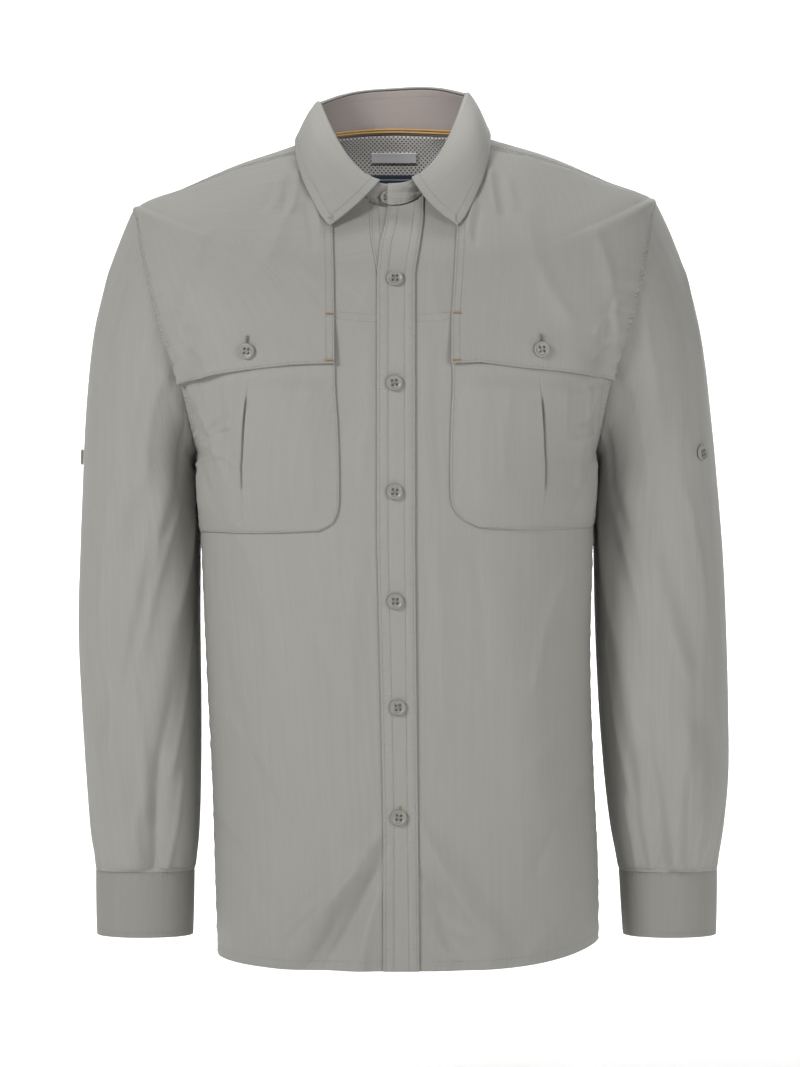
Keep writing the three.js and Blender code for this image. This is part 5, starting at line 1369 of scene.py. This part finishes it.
def makeStitchTree():
    tree = bpy.data.node_groups.new("stitchRow", "GeometryNodeTree")
    face = tree.interface
    face.new_socket("Geometry", in_out="INPUT", socket_type="NodeSocketGeometry")
    keys = {}
    for label in ("Pitch", "Long", "Thick"):
        keys[label] = face.new_socket(label, in_out="INPUT", socket_type="NodeSocketFloat").identifier
    keys["Thread"] = face.new_socket("Thread", in_out="INPUT", socket_type="NodeSocketMaterial").identifier
    face.new_socket("Geometry", in_out="OUTPUT", socket_type="NodeSocketGeometry")
    new, link = tree.nodes.new, tree.links.new
    start, end = new("NodeGroupInput"), new("NodeGroupOutput")
    curve = new("GeometryNodeMeshToCurve")
    even = new("GeometryNodeResampleCurve")
    even.mode = "LENGTH"
    link(start.outputs["Geometry"], curve.inputs["Mesh"])
    link(curve.outputs["Curve"], even.inputs["Curve"])
    link(start.outputs["Pitch"], even.inputs["Length"])
    facingValue = new("GeometryNodeInputNamedAttribute")
    facingValue.data_type = "FLOAT_VECTOR"
    facingValue.inputs["Name"].default_value = "facing"
    up = new("FunctionNodeAlignRotationToVector")
    up.axis = "Z"
    link(facingValue.outputs["Attribute"], up.inputs["Vector"])
    tangent = new("GeometryNodeInputTangent")
    ahead = new("FunctionNodeAlignRotationToVector")
    ahead.axis, ahead.pivot_axis = "X", "Z"
    link(up.outputs["Rotation"], ahead.inputs["Rotation"])
    link(tangent.outputs["Tangent"], ahead.inputs["Vector"])
    size = new("ShaderNodeCombineXYZ")
    link(start.outputs["Long"], size.inputs["X"])
    link(start.outputs["Thick"], size.inputs["Y"])
    link(start.outputs["Thick"], size.inputs["Z"])
    stitch = new("GeometryNodeMeshIcoSphere")
    stitch.inputs["Radius"].default_value = 1.0
    stitch.inputs["Subdivisions"].default_value = 1
    instances = new("GeometryNodeInstanceOnPoints")
    link(even.outputs["Curve"], instances.inputs["Points"])
    link(stitch.outputs["Mesh"], instances.inputs["Instance"])
    link(ahead.outputs["Rotation"], instances.inputs["Rotation"])
    link(size.outputs["Vector"], instances.inputs["Scale"])
    real = new("GeometryNodeRealizeInstances")
    paint = new("GeometryNodeSetMaterial")
    link(instances.outputs["Instances"], real.inputs["Geometry"])
    link(real.outputs["Geometry"], paint.inputs["Geometry"])
    link(start.outputs["Thread"], paint.inputs["Material"])
    link(paint.outputs["Geometry"], end.inputs["Geometry"])
    return tree, keys


stitchTree, stitchKeys = makeStitchTree()


def sewLines(name, lines, material, pitch, long, thick):
    paths, upward = zip(*lines)
    points, normals = np.concatenate(paths) * 0.001, np.concatenate(upward)
    edges, count = [], 0
    for path in paths:
        edges += [[count + k, count + k + 1] for k in range(len(path) - 1)]
        count += len(path)
    mesh = bpy.data.meshes.new(name + "Path")
    mesh.from_pydata(points.tolist(), edges, [])
    attribute = mesh.attributes.new("facing", "FLOAT_VECTOR", "POINT")
    attribute.data.foreach_set("vector", normals.ravel())
    source = bpy.data.objects.new(name + "Path", mesh)
    bpy.context.scene.collection.objects.link(source)
    modifier = source.modifiers.new("stitches", "NODES")
    modifier.node_group = stitchTree
    modifier[stitchKeys["Pitch"]] = pitch * 0.001
    modifier[stitchKeys["Long"]] = long * 0.0005
    modifier[stitchKeys["Thick"]] = thick * 0.001
    modifier[stitchKeys["Thread"]] = material
    source.update_tag()
    result = bpy.data.meshes.new_from_object(source.evaluated_get(bpy.context.evaluated_depsgraph_get()))
    bpy.data.objects.remove(source)
    piece = bpy.data.objects.new(name, result)
    result.polygons.foreach_set("use_smooth", [True] * len(result.polygons))
    if not result.materials:
        result.materials.append(material)
    bpy.context.scene.collection.objects.link(piece)
    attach(piece, "root")


def alongEdge(name, edge, inset, trim=(0, 0), face="outer"):
    grid, back = grids[name]
    normals = unit(grid - back)
    if face == "inner":
        grid, normals = back, -normals
    if edge in ("first", "last"):
        grid, normals = grid.swapaxes(0, 1), normals.swapaxes(0, 1)
    if edge in ("right", "last"):
        grid, normals = grid[:, ::-1], normals[:, ::-1]
    depth = lengthsAlong(grid, 1)
    path, up = [], []
    for i in range(len(grid)):
        path.append([np.interp(inset, depth[i], grid[i, :, a]) for a in range(3)])
        up.append([np.interp(inset, depth[i], normals[i, :, a]) for a in range(3)])
    path, up = np.array(path), unit(np.array(up))
    long = lengthsAlong(path[:, None], 0)[:, 0]
    inside = np.linspace(trim[0], long[-1] - trim[1], max(3, int(long[-1] / 2.5)))
    path = np.stack([np.interp(inside, long, path[:, a]) for a in range(3)], -1)
    up = unit(np.stack([np.interp(inside, long, up[:, a]) for a in range(3)], -1))
    return path + up * stitchLook["above"], up


# piece, edge, distances from the edge, and how far the line stops short at its ends
pairSeams = [
    ("flap_{}", "left", (1.5, 7.0), (0, 0)), ("flap_{}", "right", (1.5, 6.0), (2, 0)),
    ("flap_{}", "first", (1.6,), (1.5, 1.5)), ("pocket_{}", "left", (1.5,), (0, 0)),
    ("pocket_{}", "right", (1.5,), (0, 0)), ("pocket_{}", "first", (1.5,), (0, 0)),
    ("front_{}_lower", "right", (1.5, 6.0), (0, 0)), ("front_{}_lower", "first", (8.0,), (0, 0)),
    ("front_{}_upper", "first", (6.0,), (0, 0)), ("cuff_{}", "last", (4.2,), (0, 0)),
    ("cuff_{}", "first", (1.6,), (0, 0)), ("cuff_{}", "right", (4.2,), (4, 4)), ("cuff_{}", "left", (4.2,), (4, 4)),
]
middleSeams = [
    ("placket_over", "left", (1.8, 9.0), (0, 0)), ("placket_over", "right", (1.8, 9.0), (0, 0)),
    ("placket_under", "left", (1.8, 8.5), (560, 0)), ("collar_stand", "first", (2.2,), (4, 4)),
    ("back", "left", (1.5, 6.0), (0, 0)), ("back", "right", (1.5, 6.0), (0, 0)), ("back", "first", (8.0,), (0, 0)),
    ("yoke", "first", (1.5, 6.0), (0, 0)), ("yoke", "left", (1.5,), (0, 0)), ("yoke", "right", (1.5,), (0, 0)),
    ("collar", "last", (7.4,), (7.4, 7.4)), ("collar", "left", (7.4,), (6, 7.4)), ("collar", "right", (7.4,), (6, 7.4)),
]
insideSeams = [("collar_stand", "last", (5.5,), (8, 8)), ("collar_stand", "first", (8.0, 6.0), (8, 8))]
seams = [(name.format(tag), *rest, "outer") for tag, side in sides for name, *rest in pairSeams]
seams += [(*seam, "outer") for seam in middleSeams] + [(*seam, "inner") for seam in insideSeams]
tonal = [alongEdge(name, edge, inset, trim, face) for name, edge, insets, trim, face in seams for inset in insets]
sewLines("seam_stitches", tonal, tonalThread, stitchLook["pitch"], stitchLook["long"], stitchLook["thick"])


def shortLine(x0, z0, x1, z1, off, count=8):
    t = np.linspace(0, 1, count)
    x, z = x0 + (x1 - x0) * t, z0 + (z1 - z0) * t
    place, normal = onFront(x, z, off)
    return place, normal


# x, z of both ends of each gold bar tack, and how far it stands off the body
flapFace = laidGap + clothWall
tacks = [(-64, -154, -57.6, -154, flapFace + 0.75), (-64.6, -194.4, -57.6, -194.6, flapFace + flapLift + 1.05),
         (46.4, -153, 53, -153, flapFace + 0.75), (45.6, -194.6, 52.6, -194.4, flapFace + flapLift + 1.05),
         (0.2, -583, 0.4, -586.5, laidGap + stiffWall + 0.3)]
sewLines("bar_tacks", [shortLine(*tack) for tack in tacks], goldThread, 0.55, 0.5, 0.85)
holes = []
for tag, side in sides:
    x, z = flapButtons[tag]
    holes += [shortLine(x + d, z + 4, x + d, z + 13.5, flapFace + flapLift * 0.62 + 0.35) for d in (-0.7, 0.7)]
sewLines("buttonhole_stitches", holes, tonalThread, 0.5, 0.5, 0.6)
print("stitching done")

# floor, light and camera
studio = {"floor": -0.86, "front": -6.0, "curveStart": 4.4, "curveRound": 1.6, "wallTop": 5.5, "halfWide": 6,
          "world": 0.09, "paper": ((0.93, 0.93, 0.93, 1), (0.955, 0.955, 0.955, 1)),
          "neck": {"place": (0.0, -1.5, 1.0), "down": math.atan2(1.575, 1.0), "angle": 0.115, "power": 62.0},
          "eye": (0, -4.0, -0.34515), "lens": 149.95}
# name: place, aim, width, height, power
lamps = {"keyLight": ((-2.3, -2.1, 1.15), (0, 0, -0.35), 0.9, 0.9, 62.0),
         "fillLight": ((1.9, -2.2, 0.3), (0, 0, -0.35), 1.2, 1.6, 29.0),
         "rearLight": ((1.3, 3.0, 1.3), (0, 0, -0.35), 1.2, 1.2, 26.0),
         "floorLight": ((0.0, 1.0, 2.6), (0, 2.6, -0.2), 3.0, 1.0, 84.0),
         "wallLight": ((0.0, 3.2, 2.9), (0, 6.0, 0.0), 4.0, 1.0, 230.0)}
backdropFinish = Finish("studioPaper")
grain = backdropFinish.noise(backdropFinish.node("ShaderNodeTexCoord").outputs["Object"], 30.0, 3.0)
backdropFinish.put("Base Color", mixColours(backdropFinish, grain, *studio["paper"]))
backdropFinish.put("Roughness", 0.95)
start, bend = studio["curveStart"], studio["curveRound"]
profile = [(studio["front"], studio["floor"]), (start, studio["floor"])]
profile += [(start + bend * math.sin(a), studio["floor"] + bend * (1 - math.cos(a)))
            for a in np.linspace(0.1, math.pi / 2, 16)]
profile += [(start + bend, studio["wallTop"])]
mesh = bpy.data.meshes.new("studio_floor")
mesh.from_pydata([(x, y, z) for y, z in profile for x in (-studio["halfWide"], studio["halfWide"])], [],
                 [[2 * k, 2 * k + 1, 2 * k + 3, 2 * k + 2] for k in range(len(profile) - 1)])
mesh.polygons.foreach_set("use_smooth", [True] * len(mesh.polygons))
mesh.materials.append(backdropFinish.material)
floor = bpy.data.objects.new("studio_floor", mesh)
bpy.context.scene.collection.objects.link(floor)

world = bpy.data.worlds.new("softStudio")
world.use_nodes = True
world.node_tree.nodes["Background"].inputs["Color"].default_value = (1, 1, 1, 1)
world.node_tree.nodes["Background"].inputs["Strength"].default_value = studio["world"]
bpy.context.scene.world = world


def addLight(name, place, aim, width, high, power):
    data = bpy.data.lights.new(name, "AREA")
    data.shape, data.size, data.size_y, data.energy = "RECTANGLE", width, high, power
    lamp = bpy.data.objects.new(name, data)
    lamp.location = place
    direction = np.array(aim) - np.array(place)
    yaw = math.atan2(direction[0], -direction[1])
    pitch = math.atan2(np.hypot(direction[0], direction[1]), -direction[2])
    lamp.rotation_euler = (pitch, 0, yaw + math.pi)
    bpy.context.scene.collection.objects.link(lamp)


for name, (place, aim, width, high, power) in lamps.items():
    addLight(name, place, aim, width, high, power)
# a narrow lamp over the front of the neck reaches down to the inside of its back
neck = studio["neck"]
spot = bpy.data.lights.new("neckLight", "SPOT")
spot.energy, spot.spot_size, spot.spot_blend, spot.shadow_soft_size = neck["power"], neck["angle"], 0.8, 0.05
lamp = bpy.data.objects.new("neckLight", spot)
lamp.location = neck["place"]
lamp.rotation_euler = (neck["down"], 0, 0)
bpy.context.scene.collection.objects.link(lamp)

camera = bpy.data.cameras.new("photoCamera")
camera.sensor_width = 36
camera.lens = studio["lens"]
eye = bpy.data.objects.new("photoCamera", camera)
eye.location = studio["eye"]
eye.rotation_euler = (math.pi / 2, 0, 0)
bpy.context.scene.collection.objects.link(eye)
bpy.context.scene.camera = eye
bpy.context.scene.view_settings.view_transform = "Standard"

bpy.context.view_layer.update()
meshes = [o.data for o in bpy.data.objects if o.type == "MESH"]
print("triangles", sum(len(face.vertices) - 2 for mesh in meshes for face in mesh.polygons))
